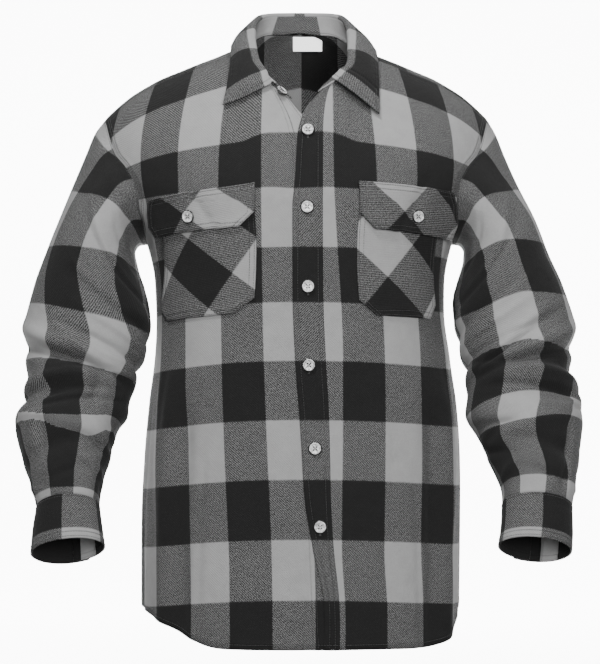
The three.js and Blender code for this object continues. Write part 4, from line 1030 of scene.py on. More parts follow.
@dataclass(frozen=True)
class CheckPlan:
    """Where the bands of the check fall: an even number of a band is dark, an odd one light."""

    warp: float = 54.0
    weft: float = 74.3
    rear_start: float = 2.0
    yoke_start: float = 143.5
    droop: dict = field(default_factory=lambda: {Side.RIGHT: 18.0, Side.LEFT: 13.0})
    rows: Curve = Curve(
        (-774, -699.3, -623.3, -548.5, -473.7, -400, -326.6, -258, -179, -127, -57, 15, 90),
        (0, 1, 2, 3, 4, 5, 6, 7, 8, 9, 10, 11, 12),
    )
    right_front: Curve = Curve(
        (-772, -665, -587, -510, -365, -140, 40), (-34, -34.9, -37.4, -41, -46, -48.6, -48.6)
    )
    left_front: Curve = Curve(
        (-772, -715, -633, -478, -400, -170, 40), (57, 56.7, 52.3, 53.6, 53.6, 42.5, 40)
    )

    def row(self, turn: Array, over: Array) -> Array:
        """Bands up the body at places on it, lower towards its sides.

        Args:
            turn: angles from the middle.
            over: distances over the ridge.

        Returns:
            Bands counted from the hem.
        """
        level = FORM.ridge - np.abs(over)
        drop = np.where(turn < 0, self.droop[Side.RIGHT], self.droop[Side.LEFT])
        return self.rows(level + drop * np.sin(np.minimum(np.abs(turn), QUARTER)) ** 2)

    def front(self, chart: Chart, side: Side, turn: Array, over: Array) -> Array:
        """Bands on a front, measured from the one beside its band.

        Args:
            chart: distances over the body.
            side: the wearer's side.
            turn: angles from the middle.
            over: distances over the ridge.

        Returns:
            Bands across and up.
        """
        start = self.left_front if side is Side.LEFT else self.right_front
        level = FORM.ridge - over
        begin = chart.across(FORM.turn_at(start(level), over), over)
        across = (chart.across(turn, over) - begin) / self.warp
        if side is Side.RIGHT:
            across = across + 1
        return np.stack([across, self.row(turn, over)], axis=-1)

    def rear(self, chart: Chart, turn: Array, over: Array, yoke: bool) -> Array:
        """Bands across and up on the back panel, or on the yoke, which is cut straight across."""
        up = 1 - (over + self.yoke_start) / self.weft if yoke else self.row(turn, over)
        return np.stack([(chart.across(turn, over) - self.rear_start) / self.warp, up], axis=-1)

    def bias(self, across: Array, height: Array, corner: tuple[float, float], degrees: float) -> Array:
        """Bands on a piece cut on the bias.

        Args:
            across: distances over the cloth from the middle.
            height: distances up the cloth.
            corner: where a corner of the check stands, across and up.
            degrees: how far the bands turn from level.

        Returns:
            Bands in the two directions.
        """
        c, s = math.cos(math.radians(degrees)), math.sin(math.radians(degrees))
        a, h = across - corner[0], height - corner[1]
        return np.stack([-(a * s + h * c) / self.warp, (a * c - h * s) / self.weft], axis=-1)


@dataclass(frozen=True)
class Cut:
    """The size a piece was cut to, width and length and area, in metres."""

    width: float
    length: float
    area: float


@dataclass
class Workroom:
    """What the pieces share: the body's chart, the check's plan, finishes, and the stitch lines so far."""

    chart: Chart
    plan: CheckPlan
    finishes: dict[str, bpy.types.Material]
    lines: list[tuple[Array, Array]] = field(default_factory=list)
    threads: list[tuple[Array, Array]] = field(default_factory=list)
    holes: list[tuple[Array, Array, Array]] = field(default_factory=list)

    def piece(
        self, node: str, cloth: Cloth, thickness: float, finish: str = "flannel", cut: str = ""
    ) -> None:
        """Makes a piece of cloth from its grid, in place of its solid.

        Args:
            node: the solid's name.
            cloth: the piece's grid.
            thickness: its thickness in millimetres.
            finish: the name of its finish.
            cut: the name of its cut, where that isn't its own; not used.
        """
        mesh = cloth.mesh(f"{node}_cloth", thickness)
        obj = bpy.data.objects.new(f"{node}_cloth", mesh)
        bpy.context.scene.collection.objects.link(obj)
        mesh.materials.append(self.finishes[finish])
        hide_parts(node)
        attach(obj, "root")
        for seam in cloth.seams:
            self.lines.append(cloth.line(seam, thickness / 2 + 0.15))
        log.info("%s: %d faces", obj.name, len(mesh.polygons))


# Thickness of plain and folded cloth, and how far what lies on the fronts, or under them, stands off
CLOTH = 1.4
FOLDED = 2.0
POCKET_LIFT = 2.6
FLAP_LIFT = 5.7
UNDERLAP = -3.0
# How far rows of topstitching run from their edges
CLOSE_ROW = 1.6
EDGE_ROW = 2.0
ARM_ROWS = (5.0, 8.0)
HEM_ROW = 6.0
PATCH_ROWS = (2.0, 8.0)


@dataclass
class Fronts:
    """The two fronts with their bands."""

    room: Workroom
    rows: int = 9
    columns: int = 9
    band_columns: int = 5
    rise: float = 661.0
    lap_reach: tuple[float, float] = (-26.0, -4.0)
    band_check: tuple[float, float] = (0.15, 0.85)
    yoke_row: tuple[float, float] = (0.34, 0.99)

    def lap(self, side: Side, points: Array, over: Array) -> Array:
        """How far each point lies under the other front.

        Args:
            side: the wearer's side.
            points: points of the front.
            over: distances over the ridge.

        Returns:
            Lifts in millimetres, below zero.
        """
        if side is Side.LEFT:
            return np.zeros(points.shape[:-1])
        share = np.clip((FORM.ridge - over - HEM_LEVEL) / self.rise, 0, 1)
        drift = BANDS[Side.RIGHT].seamX(share)
        return UNDERLAP * smooth(points[..., 0] - drift, *self.lap_reach)

    def front(self, side: Side) -> None:
        """Makes one front.

        Args:
            side: whose side it is on.
        """
        row_splits, column_splits = LAYOUT.front_splits()
        grid = spread_both(LAYOUT.front(side), row_splits, column_splits, self.rows, self.columns)
        turn, over = grid[..., 0], grid[..., 1]
        points, normals = FORM.frame(turn, over)
        points = points + normals * self.lap(side, points, over)[..., None]
        check = self.room.plan.front(self.room.chart, side, turn, over)
        arm = LAYOUT.body_rows / (LAYOUT.body_rows + LAYOUT.bowl_rows + LAYOUT.front_arm_rows)
        seams = [
            Seam(Edge.LAST, CLOSE_ROW, 0, arm),
            Seam(Edge.LAST, ARM_ROWS[0], arm, 1),
            Seam(Edge.LAST, ARM_ROWS[1], arm, 1),
            Seam(Edge.LOW, HEM_ROW),
            Seam(Edge.HIGH, EDGE_ROW, *self.yoke_row),
        ]
        self.room.piece(f"{side.word}_front", Cloth(points, normals, check, seams=seams), CLOTH)

    def band(self, side: Side, node: str) -> None:
        """Makes a front band from its front's edge out to its free edge.

        Args:
            side: the wearer's side.
            node: the solid's name.
        """
        edge, table = BAND_EDGES[side], BANDS[side]
        seam = LAYOUT.front(side)[:, 0]
        join = LAYOUT.joins(side)[0]
        rows = []
        for i, (turn, over) in enumerate(seam):
            level = FORM.ridge - over
            place = float(edge.place(level))
            row = []
            for u in np.linspace(0, 1, LAYOUT.band_columns + 1):
                if i == len(seam) - 1:
                    row.append(LAYOUT.neck(join + ((1 if side is Side.LEFT else 0) - join) * u))
                    continue
                x = float(edge.seamX(level)) * (1 - u) + float(table.freeX(place)) * u
                at = FORM.ridge - (level * (1 - u) + float(table.freeLevel(place)) * u)
                row.append((turn if u == 0 else float(FORM.turn_at(x, at)), at))
            rows.append(row)
        grid = np.array(rows)
        splits = LAYOUT.front_splits()[0]
        grid = spread_both(grid, splits, [0, LAYOUT.band_columns], self.rows, self.band_columns)
        turn, over = grid[..., 0], grid[..., 1]
        points, normals = FORM.frame(turn, over)
        points = points + normals * self.lap(side, points, over)[..., None]
        check = self.room.plan.front(self.room.chart, side, turn, over)
        if side is Side.LEFT:
            check[..., 0] = np.linspace(*self.band_check, check.shape[1])
        seams = [Seam(edge, HEM_ROW) for edge in (Edge.FIRST, Edge.LAST, Edge.LOW)]
        self.room.piece(node, Cloth(points, normals, check, seams=seams), FOLDED)

    def build(self) -> None:
        """Makes both fronts and both bands."""
        for side in Side:
            self.front(side)
        self.band(Side.LEFT, "front_placket")
        self.band(Side.RIGHT, "button_band")


@dataclass
class BackAndYoke:
    """The back panel and the yoke over the shoulders."""

    room: Workroom
    rows: int = 9
    yoke_rows: int = 6
    columns: int = 6
    yoke_stitch: float = 6.5

    def build(self) -> None:
        """Makes both pieces."""
        plan, chart = self.room.plan, self.room.chart
        rows = LAYOUT.body_rows + LAYOUT.bowl_rows + LAYOUT.back_arm_rows
        splits = [0, LAYOUT.body_rows, rows]
        grid = spread_both(LAYOUT.back(), splits, LAYOUT.across_splits, self.rows, self.columns)
        turn, over = grid[..., 0], grid[..., 1]
        points, normals = FORM.frame(turn, over)
        arm = LAYOUT.body_rows / rows
        seams = [
            Seam(Edge.LAST, CLOSE_ROW, 0, arm),
            Seam(Edge.FIRST, CLOSE_ROW, 0, arm),
            Seam(Edge.LAST, ARM_ROWS[0], arm, 1),
            Seam(Edge.FIRST, ARM_ROWS[0], arm, 1),
            Seam(Edge.LOW, HEM_ROW),
        ]
        check = plan.rear(chart, turn, over, False)
        self.room.piece("back", Cloth(points, normals, check, seams=seams), CLOTH)
        splits = [0, LAYOUT.yoke_rows]
        grid = spread_both(LAYOUT.yoke(), splits, LAYOUT.across_splits, self.yoke_rows, self.columns)
        turn, over = grid[..., 0], grid[..., 1]
        points, normals = FORM.frame(turn, over)
        third = LAYOUT.shoulder_columns / (2 * LAYOUT.half_columns)
        seams = [
            Seam(Edge.HIGH, EDGE_ROW),
            Seam(Edge.HIGH, self.yoke_stitch),
            Seam(Edge.LOW, EDGE_ROW, 0, third),
            Seam(Edge.LOW, EDGE_ROW, 1 - third, 1),
            Seam(Edge.FIRST, ARM_ROWS[0]),
            Seam(Edge.LAST, ARM_ROWS[0]),
        ]
        check = plan.rear(chart, turn, over, True)
        self.room.piece("yoke", Cloth(points, normals, check, seams=seams), CLOTH)


@dataclass
class Collar:
    """The stand and the leaf that folds over it."""

    room: Workroom
    neck_gap: float = 1.5
    roll_height: float = 5.9
    bow: float = 5.0
    clear: float = 5.0
    roll: tuple[tuple[float, float], ...] = ((0.5, 0), (3.2, 0.5), (4.9, 2.9), (3.9, 6.2))
    fall_rows: int = 4
    spans: int = 6
    end_row: float = 3.0
    stand_middle: float = 31.0
    stand_bands: tuple[float, float] = (1.7, 1.3)
    leaf_start: tuple[float, float] = (20.0, 17.0)

    def places(self) -> Array:
        """Places round the collar at which the pieces below it have their own points.

        Returns:
            The places, rising.
        """
        (right_band, right_yoke), (left_band, left_yoke) = LAYOUT.joins(Side.RIGHT), LAYOUT.joins(Side.LEFT)
        spans = [
            (0, right_band, LAYOUT.band_columns),
            (right_band, right_yoke, LAYOUT.neck_columns),
            (right_yoke, left_yoke, LAYOUT.yoke_neck_columns),
            (left_yoke, left_band, LAYOUT.neck_columns),
            (left_band, 1, LAYOUT.band_columns),
        ]
        return np.concatenate([[0]] + [np.linspace(low, high, count + 1)[1:] for low, high, count in spans])

    def frame(self, place: float) -> tuple[Array, Array, Array, Array]:
        """The collar's frame at a place round the neck.

        Args:
            place: from 0 at the right end to 1 at the left end.

        Returns:
            The stand's foot and top, the way up it and the way out.
        """

        def seam(at: float) -> tuple[Array, Array]:
            """The neck seam's point and normal at a place round the collar.

            Args:
                at: the place.

            Returns:
                The point and the normal.
            """
            over = float(COLLAR.over(at))
            turn = float(FORM.turn_at(float(COLLAR.seamX(at)), over))
            points, normals = FORM.frame(np.array([turn]), np.array([over]), fine=False)
            return points[0], normals[0]

        point, normal = seam(place)
        tangent = unit(seam(min(place + 0.01, 1))[0] - seam(max(place - 0.01, 0))[0])
        into = -np.cross(normal, tangent)
        fold = np.array([float(COLLAR.foldX(place)), float(COLLAR.foldY(place)), float(COLLAR.foldZ(place))])
        foot = point + into * (FOLDED / 2 + self.neck_gap) - normal * CLOTH / 2
        up = unit(fold - foot)
        out = unit(np.cross(tangent, up))
        if np.dot(out, normal - into) < 0:
            out = -out
        return foot, fold - up * self.roll_height, up, out

    def clear_of_body(self, point: Array, x: float, over: float) -> Array:
        """Moves a point clear of the body.

        Args:
            point: the point.
            x: first guess of the distance from the middle of the place below it.
            over: first guess of its distance over the ridge.

        Returns:
            The moved point.
        """
        point = point.copy()
        for attempt in range(6):
            xs, overs = np.array([x, x + 1, x]), np.array([over, over, over + 1])
            points, normals = FORM.frame(FORM.turn_at(xs, overs), overs, fine=False)
            gap = point - points[0]
            beside, ahead = points[1] - points[0], points[2] - points[0]
            x += float(gap @ beside / (beside @ beside))
            over += float(gap @ ahead / (ahead @ ahead))
            if attempt > 3:
                point += normals[0] * max(self.clear - float(gap @ normals[0]), 0)
        return point

    def fall(self, place: float) -> list[Array]:
        """Points of the leaf at a place, over the roll and down to its edge.

        Args:
            place: from 0 at the right end to 1 at the left end.

        Returns:
            The points.
        """
        _, top, up, out = self.frame(place)
        rolled = [top + up * rise + out * away for rise, away in self.roll]
        edge_x, edge_over = float(COLLAR.edgeX(place)), float(COLLAR.edgeOver(place))
        turn = FORM.turn_at(np.array([edge_x]), np.array([edge_over]))
        points, normals = FORM.frame(turn, np.array([edge_over]), fine=False)
        edge = points[0] + normals[0] * float(COLLAR.lift(place))
        rest = []
        for k in range(1, self.fall_rows + 1):
            t = k / self.fall_rows
            bowed = rolled[-1] * (1 - t) + edge * t + out * self.bow * math.sin(math.pi * t)
            x = float(COLLAR.seamX(place)) * (1 - t) + edge_x * t
            over = float(COLLAR.over(place)) * (1 - t) + edge_over * t
            rest.append(self.clear_of_body(bowed, x, over))
        return rolled + rest

    @staticmethod
    def normals(points: Array, like: Array) -> Array:
        """Unit normals of a grid of points, on the side that the first row's ways out give."""
        normal = unit(np.cross(np.gradient(points, axis=0), np.gradient(points, axis=1)))
        return normal * np.where(np.sum(normal[:1] * like[None], axis=-1, keepdims=True) < 0, -1.0, 1.0)

    def build(self) -> None:
        """Makes the stand and the leaf."""
        places = self.places()
        frames = [self.frame(place) for place in places]
        splits = [0, len(places) - 1]
        out = spread(np.array([f[3] for f in frames]), splits, self.spans)
        stand = np.array([[f[0] * (1 - v) + f[1] * v for f in frames] for v in (0, 0.5, 1)])
        stand = spread_both(stand, [0, 2], splits, self.spans, self.spans)
        leaf = np.swapaxes(np.array([self.fall(place) for place in places]), 0, 1)
        leaf = spread_both(leaf, [0, len(leaf) - 1], splits, self.spans, self.spans)
        length = np.concatenate([[0], np.cumsum(np.linalg.norm(np.diff(stand[-1], axis=0), axis=-1))])
        from_end = np.minimum(length, length[-1] - length)
        plan = self.room.plan
        middle = length[int(np.argmin(np.abs(stand[-1, :, 0])))]
        rows = np.linspace(*self.stand_bands, len(stand))
        across = (length[None] - middle + self.stand_middle) / plan.warp
        check = np.stack(np.broadcast_arrays(across, rows[:, None]), axis=-1)
        seams = [Seam(Edge.LOW, EDGE_ROW), Seam(Edge.FIRST, self.end_row), Seam(Edge.LAST, self.end_row)]
        self.room.piece("collar_stand", Cloth(stand, self.normals(stand, out), check, seams=seams), FOLDED)
        steps = np.linalg.norm(np.diff(leaf, axis=0), axis=-1)
        down = np.concatenate([np.zeros((1, leaf.shape[1])), np.cumsum(steps, axis=0)])
        across = from_end[None] + 0 * down - self.leaf_start[0]
        check = np.stack([across / plan.warp, (down - self.leaf_start[1]) / plan.weft], axis=-1)
        seams = [Seam(Edge.HIGH, HEM_ROW, 0.02, 0.98)]
        seams += [Seam(edge, HEM_ROW, 0.3, 0.9) for edge in (Edge.FIRST, Edge.LAST)]
        self.room.piece("collar_leaf", Cloth(leaf, self.normals(leaf, out), check, seams=seams), FOLDED)


@dataclass
class Sleeve:
    """A sleeve with its slit's strip, its cuff, and the cuff's overlap."""

    room: Workroom
    side: Side
    length: float = 484.0
    rings: int = 190
    cap_fade: float = 150.0
    cuff_start: float = -96.0
    cuff_overlap: float = 24.0
    cuff_step: float = 2.8
    cuff_length: float = 62.0
    cuff_grid_size: tuple[int, int] = (26, 130)
    cuff_lap: tuple[float, float] = (0.72, 0.93)
    cuff_band: tuple[float, float] = (84.0, 70.0)
    cuff_row: float = 46.0
    cuff_patch: dict = field(default_factory=lambda: {Side.RIGHT: 236.0, Side.LEFT: 296.0})
    cuff_patch_width: float = 15.0
    end_row: float = 3.0
    cap_power: float = 1.5
    settle: tuple[float, float] = (20.0, 90.0)
    settle_end: float = 25.0
    pucker_width: float = 8.0
    pucker_run: tuple[float, float, float] = (70.0, 14.0, 9.0)
    spans: int = 5
    band: tuple[float, float] = (46.0, 42.0)
    elbow: float = 296.0
    last_band: float = 70.0
    slit_angles: tuple[float, float] = (86.0, 110.0)
    slit_run: tuple[float, float] = (346.0, 474.0)
    slit_gap: float = 0.45
    bands: Curve = Curve((-60, 18, 83, 154, 222, 296, 330), (-1, 0, 1, 2, 3, 4, 4.5))
    slants: Curve = Curve((0, 83, 154, 222, 296, 373, 484), (75, 72, 39, 9, -14, 0, 0))

    def ring(self, table: Table, along: Array, angle: Array) -> Array:
        """Points of a sleeve's or cuff's rings, without the cap.

        Args:
            table: its sizes.
            along: distances down it.
            angle: angles from its outer line through the front.

        Returns:
            Points in millimetres.
        """
        sign = self.side.value
        zero = np.zeros_like(along)
        out = np.stack([sign * table.outX(along), zero, table.outZ(along)], axis=-1)
        inn = np.stack([sign * table.inX(along), zero, table.inZ(along)], axis=-1)
        middle = (out + inn) / 2
        middle[..., 1] = table.midY(along)
        half = np.linalg.norm(out - inn, axis=-1, keepdims=True) / 2
        outward = unit(out - inn)
        tip, twist = np.radians(table.tip(along)), np.radians(table.turn(along))[..., None]
        rear = np.stack([zero, np.cos(tip), -np.sin(tip)], axis=-1)
        axis_out = outward * np.cos(twist) + rear * np.sin(twist)
        axis_front = outward * np.sin(twist) - rear * np.cos(twist)
        depth = table.depth(along)[..., None]
        out, front = np.cos(angle)[..., None], np.sin(angle)[..., None]
        return middle + axis_out * half * out + axis_front * depth * front

    def ring_normals(self, points: Array) -> Array:
        """Outward normals of a closed grid whose last column repeats its first.

        Args:
            points: the grid.

        Returns:
            Unit normals.
        """
        around = np.roll(points[:, :-1], -1, axis=1) - np.roll(points[:, :-1], 1, axis=1)
        around = np.concatenate([around, around[:, :1]], axis=1)
        return unit(np.cross(around, np.gradient(points, axis=0)) * -self.side.value)

    def grid(self) -> tuple[Array, Array, Array, Array]:
        """The sleeve's fine grid.

        Returns:
            Points, normals, angles of its columns in degrees, and distances down it.
        """
        fore, over, rear = LAYOUT.armhole(self.side)
        parts = [spread(part, [0, len(part) - 1], self.spans) for part in (fore, over, rear)]
        loop = np.concatenate([parts[0], parts[1][1:], parts[2][::-1][1:]])
        seam = FORM.point(loop[:, 0], loop[:, 1])
        lengths = np.linalg.norm(np.diff(seam, axis=0), axis=-1)
        run = np.concatenate([[0], np.cumsum(lengths)])
        crest = int(np.argmax(seam[:, 2]))
        angles = np.where(
            np.arange(len(loop)) <= crest,
            math.pi * (1 - run / run[crest]),
            -math.pi * (run - run[crest]) / (run[-1] - run[crest]),
        )
        table = SLEEVES[self.side]
        t = np.linspace(0, 1, self.rings)
        along = self.length * (0.75 * t + 0.25 * t * t)
        alongs, turned = np.meshgrid(along, angles, indexing="ij")
        start = self.ring(table, np.zeros_like(angles), angles)
        fade = (1 - smooth(alongs, 0, self.cap_fade)) ** self.cap_power
        points = self.ring(table, alongs, turned) + (seam - start)[None] * fade[..., None]
        points[:, -1] = points[:, 0]
        normals = self.ring_normals(points)
        degrees = np.degrees(turned) % 360
        settle = smooth(alongs, *self.settle)
        settle = settle * (1 - smooth(alongs, self.length - self.settle_end, self.length))
        folds = sum(fold.at(alongs, degrees) for fold in LARGE_SLEEVE_FOLDS + FINE_SLEEVE_FOLDS[self.side])
        points = points + normals * (settle * folds)[..., None]
        points = points + normals * self.puckers(alongs, degrees)[..., None]
        points[:, -1] = points[:, 0]
        return points, self.ring_normals(points), np.degrees(angles), along

    def puckers(self, along: Array, degrees: Array) -> Array:
        """Small gathers where the sleeve is sewn to the cuff.

        Args:
            along: distances down the sleeve.
            degrees: angles round it.

        Returns:
            Heights in millimetres.
        """
        places = (18, 47, 71, 102, 139, 171, 208, 236, 262, 291, 318, 344)
        heights = (1.1, -1.3, 1.6, -1.0, 1.4, -1.5, 1.2, -1.1, 1.5, -1.3, 1.0, -1.4)
        waves = sum(
            height * bell(((degrees - place + 540) % 360 - 180) / self.pucker_width)
            for place, height in zip(places, heights)
        )
        start, full, end = (self.length - gap for gap in self.pucker_run)
        return waves * (smooth(along, start, full) * (1 - smooth(along, end, self.length)))

    def rows_of_check(self, along: Array, turned: Array) -> Array:
        """Bands down the sleeve, whose edges waver round it below the elbow.

        Args:
            along: distances down the sleeve.
            turned: angles round it in degrees, from -180 to 180.

        Returns:
            Bands counted from the cap.
        """
        marks = SLEEVE_ROWS[self.side]
        size = np.abs(turned)
        fourth, fifth = marks.fourth(size), marks.fifth(size)
        sixth, seventh = marks.sixth(size), marks.seventh(size)
        inner = (1 - np.cos(np.radians(turned))) / 2
        stretched = along * self.elbow / fourth
        high = np.minimum(self.bands(stretched + self.slants(stretched) * inner), 4)
        low = 4
        ends = [fourth, fifth, sixth, seventh, seventh + self.last_band]
        for start, end in zip(ends, ends[1:]):
            low = low + np.clip((along - start) / (end - start), 0, 1)
        return np.where(along < fourth, high, low)

    def sleeve(self) -> tuple[Array, Array, Array, Array]:
        """Makes the sleeve.

        Returns:
            Its points, normals and check, and the distances down it.
        """
        points, normals, degrees, along = self.grid()
        alongs, turned = np.meshgrid(along, degrees, indexing="ij")
        shifts = SLEEVE_SHIFTS[self.side]
        across = (turned - self.band[0] - shifts(alongs)) / self.band[1]
        check = np.stack([across, self.rows_of_check(alongs, turned)], axis=-1)
        seams = [Seam(Edge.LOW, CLOSE_ROW)]
        cloth = Cloth(points, normals, check, True, seams)
        self.room.piece(f"{self.side.word}_sleeve", cloth, CLOTH, cut="sleeve")
        return points, normals, check, along

    def slit(self, points: Array, normals: Array, check: Array, along: Array) -> None:
        """Makes the strip over the sleeve's slit, on the sleeve's own points.

        Args:
            points: the sleeve's points.
            normals: its normals.
            check: its bands.
            along: distances down it.
        """
        degrees = -(check[0, :, 0] * self.band[1] + self.band[0] + SLEEVE_SHIFTS[self.side](0.0))
        columns = np.where((degrees > self.slit_angles[0]) & (degrees < self.slit_angles[1]))[0]
        rows = np.where((along > self.slit_run[0]) & (along < self.slit_run[1]))[0]
        part = np.ix_(rows, columns)
        lifted = points[part] + normals[part] * (CLOTH + self.slit_gap)
        seams = [Seam(Edge.FIRST, EDGE_ROW), Seam(Edge.LAST, EDGE_ROW), Seam(Edge.LOW, 2.5)]
        cloth = Cloth(lifted, normals[part], check[part], seams=seams)
        self.room.piece(f"{self.side.word}_sleeve_placket", cloth, CLOTH, cut="sleeve_placket")

    def middle(self, along: Array) -> Array:
        """Points on the cuff's middle line, at distances down it."""
        table, zero = CUFFS[self.side], 0 * along
        return (self.ring(table, along, zero) + self.ring(table, along, zero + math.pi)) / 2

    def cuff_grid(self, along: Array, around: Array) -> Array:
        """Points of the cuff.

        Args:
            along: distances down it.
            around: from 0 at the end beneath to 1 at the end that laps over it.

        Returns:
            Points in millimetres.
        """
        angle = np.radians(self.cuff_start - around * (360 + self.cuff_overlap))
        point = self.ring(CUFFS[self.side], along, angle)
        out = unit(point - self.middle(along))
        return point + out * self.cuff_step * smooth(around, *self.cuff_lap)[..., None]

    def cuff(self) -> None:
        """Makes the cuff."""
        rows, columns = self.cuff_grid_size
        along = np.linspace(0.5, self.cuff_length - 0.5, rows)
        along, around = np.meshgrid(along, np.linspace(0, 1, columns), indexing="ij")
        points = self.cuff_grid(along, around)
        normals = unit(np.cross(np.gradient(points, axis=1), np.gradient(points, axis=0)) * self.side.value)
        middle = self.middle(along)
        inward = np.sum(normals * (points - middle), axis=-1, keepdims=True) < 0
        normals = normals * np.where(inward, -1.0, 1.0)
        degrees = (self.cuff_start - around * (360 + self.cuff_overlap)) % 360
        turned = np.where(degrees > 180, degrees - 360, degrees)
        across = 1 + (turned - self.cuff_band[0]) / self.cuff_band[1]
        check = np.stack([across, 1 + (along - self.cuff_row) / self.room.plan.weft], axis=-1)
        seams = [Seam(Edge.LOW, 2.5), Seam(Edge.HIGH, 2.5), Seam(Edge.HIGH, 8.0)]
        seams += [Seam(edge, self.end_row) for edge in (Edge.FIRST, Edge.LAST)]
        patch = 0.5 + smooth(bell((degrees - self.cuff_patch[self.side]) / self.cuff_patch_width), 0.2, 0.5)
        lining = np.stack([patch, patch], axis=-1)
        cloth = Cloth(points, normals, check, seams=seams, lining=lining)
        self.room.piece(f"{self.side.word}_cuff", cloth, FOLDED, cut="cuff")

    def build(self) -> None:
        """Makes the sleeve, its strip and its cuff."""
        self.slit(*self.sleeve())
        self.cuff()


@dataclass(frozen=True)
class Patch:
    """A pocket or flap between four corners on a front, its lower corners clipped."""

    inner: float
    outer_top: float
    outer_low: float
    inner_top_z: float
    outer_top_z: float
    inner_low_z: float
    outer_low_z: float
    clip_width: float
    clip_height: float
    lift: float
    thickness: float
    corner: tuple[float, float]
    degrees: float


@dataclass
class Pocket:
    """A chest pocket cut on the bias, with its flap."""

    room: Workroom
    side: Side
    grid_size: tuple[int, int, int] = (8, 50, 60)
    flap_shift: tuple[float, float] = (1.0, 1.13)

    def shapes(self) -> dict[str, Patch]:
        """The pocket's and the flap's sizes on this side.

        Returns:
            A patch's sizes for each of the two.
        """
        clip, flap_clip = (0.15, 0.11), (0.1, 0.3)
        lift, flap_lift = (POCKET_LIFT, CLOTH), (FLAP_LIFT, FOLDED)
        if self.side is Side.RIGHT:
            pocket = (57.5, 182, 176, -184, -197, -339, -352, *clip, *lift, (-138.7, -246.5), 36)
            flap = (56, 187, 186, -179, -197, -231, -243, *flap_clip, *flap_lift, (-107, -182), 36)
        else:
            pocket = (75, 186, 172, -180, -188, -342, -348, *clip, *lift, (108.5, -295), 41)
            flap = (73, 190, 191, -177, -187, -233, -247, *flap_clip, *flap_lift, (128, -212), 44)
        return {"pocket": Patch(*pocket), "pocket_flap": Patch(*flap)}

    def patch(self, name: str, shape: Patch) -> None:
        """Makes the pocket or the flap.

        Args:
            name: which of them it is.
            shape: its sizes.
        """
        sign = self.side.value

        def place(x: float, z: float) -> Array:
            """The angle and the distance over the ridge of a point seen from the front."""
            over = float(FORM.over_at(np.array([sign * x]), np.array([z]))[0])
            return np.array([float(FORM.turn_at(sign * x, over)), over])

        in_top, in_low = place(shape.inner, shape.inner_top_z), place(shape.inner, shape.inner_low_z)
        out_top = place(shape.outer_top, shape.outer_top_z)
        out_low = place(shape.outer_low, shape.outer_low_z)
        low, high, columns = self.grid_size
        clipped = np.linspace(0, shape.clip_height, low)[:-1]
        heights = np.concatenate([clipped, np.linspace(shape.clip_height, 1, high)])
        v, t = np.meshgrid(heights, np.linspace(0, 1, columns), indexing="ij")
        inset = shape.clip_width * np.maximum(1 - v / shape.clip_height, 0)
        u = (inset + (1 - 2 * inset) * t)[..., None]
        v = v[..., None]
        grid = (in_low * (1 - u) + out_low * u) * (1 - v) + (in_top * (1 - u) + out_top * u) * v
        turn, over = grid[..., 0], grid[..., 1]
        points, normals = FORM.frame(turn, over)
        points = points + normals * (shape.lift + self.slack(name, u[..., 0], v[..., 0]))[..., None]
        across = self.room.chart.across(turn, over)
        start_x, start_z = shape.corner
        start = place(abs(start_x), start_z)
        origin = (float(self.room.chart.across(start[:1], start[1:])[0]), -float(start[1]))
        check = self.room.plan.bias(across, -over, origin, shape.degrees)
        if name == "pocket_flap" and self.side is Side.RIGHT:
            check = check + np.array(self.flap_shift)
        seams = [Seam(edge, inset) for edge in (Edge.FIRST, Edge.LAST, Edge.LOW) for inset in PATCH_ROWS]
        if name == "pocket_flap":
            seams += [Seam(Edge.HIGH, inset) for inset in PATCH_ROWS]
        cloth = Cloth(points, normals, check, seams=seams)
        self.room.piece(f"{self.side.word}_{name}", cloth, shape.thickness, cut=name)

    @staticmethod
    def slack(name: str, u: Array, v: Array) -> Array:
        """How far the patch stands off where it isn't sewn down.

        Args:
            name: which patch it is.
            u: shares of the way out from the middle.
            v: shares of the way up.

        Returns:
            Extra lift in millimetres.
        """
        if name == "pocket_flap":
            return 1.6 * (1 - v) ** 2 * (0.6 + 0.4 * np.cos(5.0 * u))
        return 0.8 * np.sin(math.pi * u) * smooth(v, 0.4, 1.0)

    def build(self) -> None:
        """Makes the pocket and its flap."""
        for name, shape in self.shapes().items():
            self.patch(name, shape)


@dataclass
class NeckLabel:
    """The blank label on the yoke's inner face."""

    room: Workroom
    left: float = -9.0
    right: float = 29.0
    drop: float = 2.0
    height: float = 21.0
    thick: float = 0.8
    inward: float = -2.2
    hang: tuple[float, float, float] = (1.0, 0.25, 1.0)
    raised: tuple[float, float, float] = (0.0, -2.5, 8.5)

    def build(self) -> None:
        """Makes the label."""
        start = float(COLLAR.over(0.5)) - self.drop
        down, across = np.linspace(start, start - self.height, 14), np.linspace(self.left, self.right, 20)
        over, x = np.meshgrid(down, across, indexing="ij")
        edge = np.full_like(x, self.right)
        points, normals = FORM.frame(FORM.turn_at(edge, over), over, fine=False)
        points = points + normals * self.inward
        points[..., 0] = x
        points = points[:1] + (points - points[:1]) * self.hang + self.raised
        normals = unit(normals * np.array([0.0, 1.0, 1.0]))
        plain = np.zeros(x.shape + (2,))
        self.room.piece("neck_label", Cloth(points, normals, plain), self.thick, finish="label")


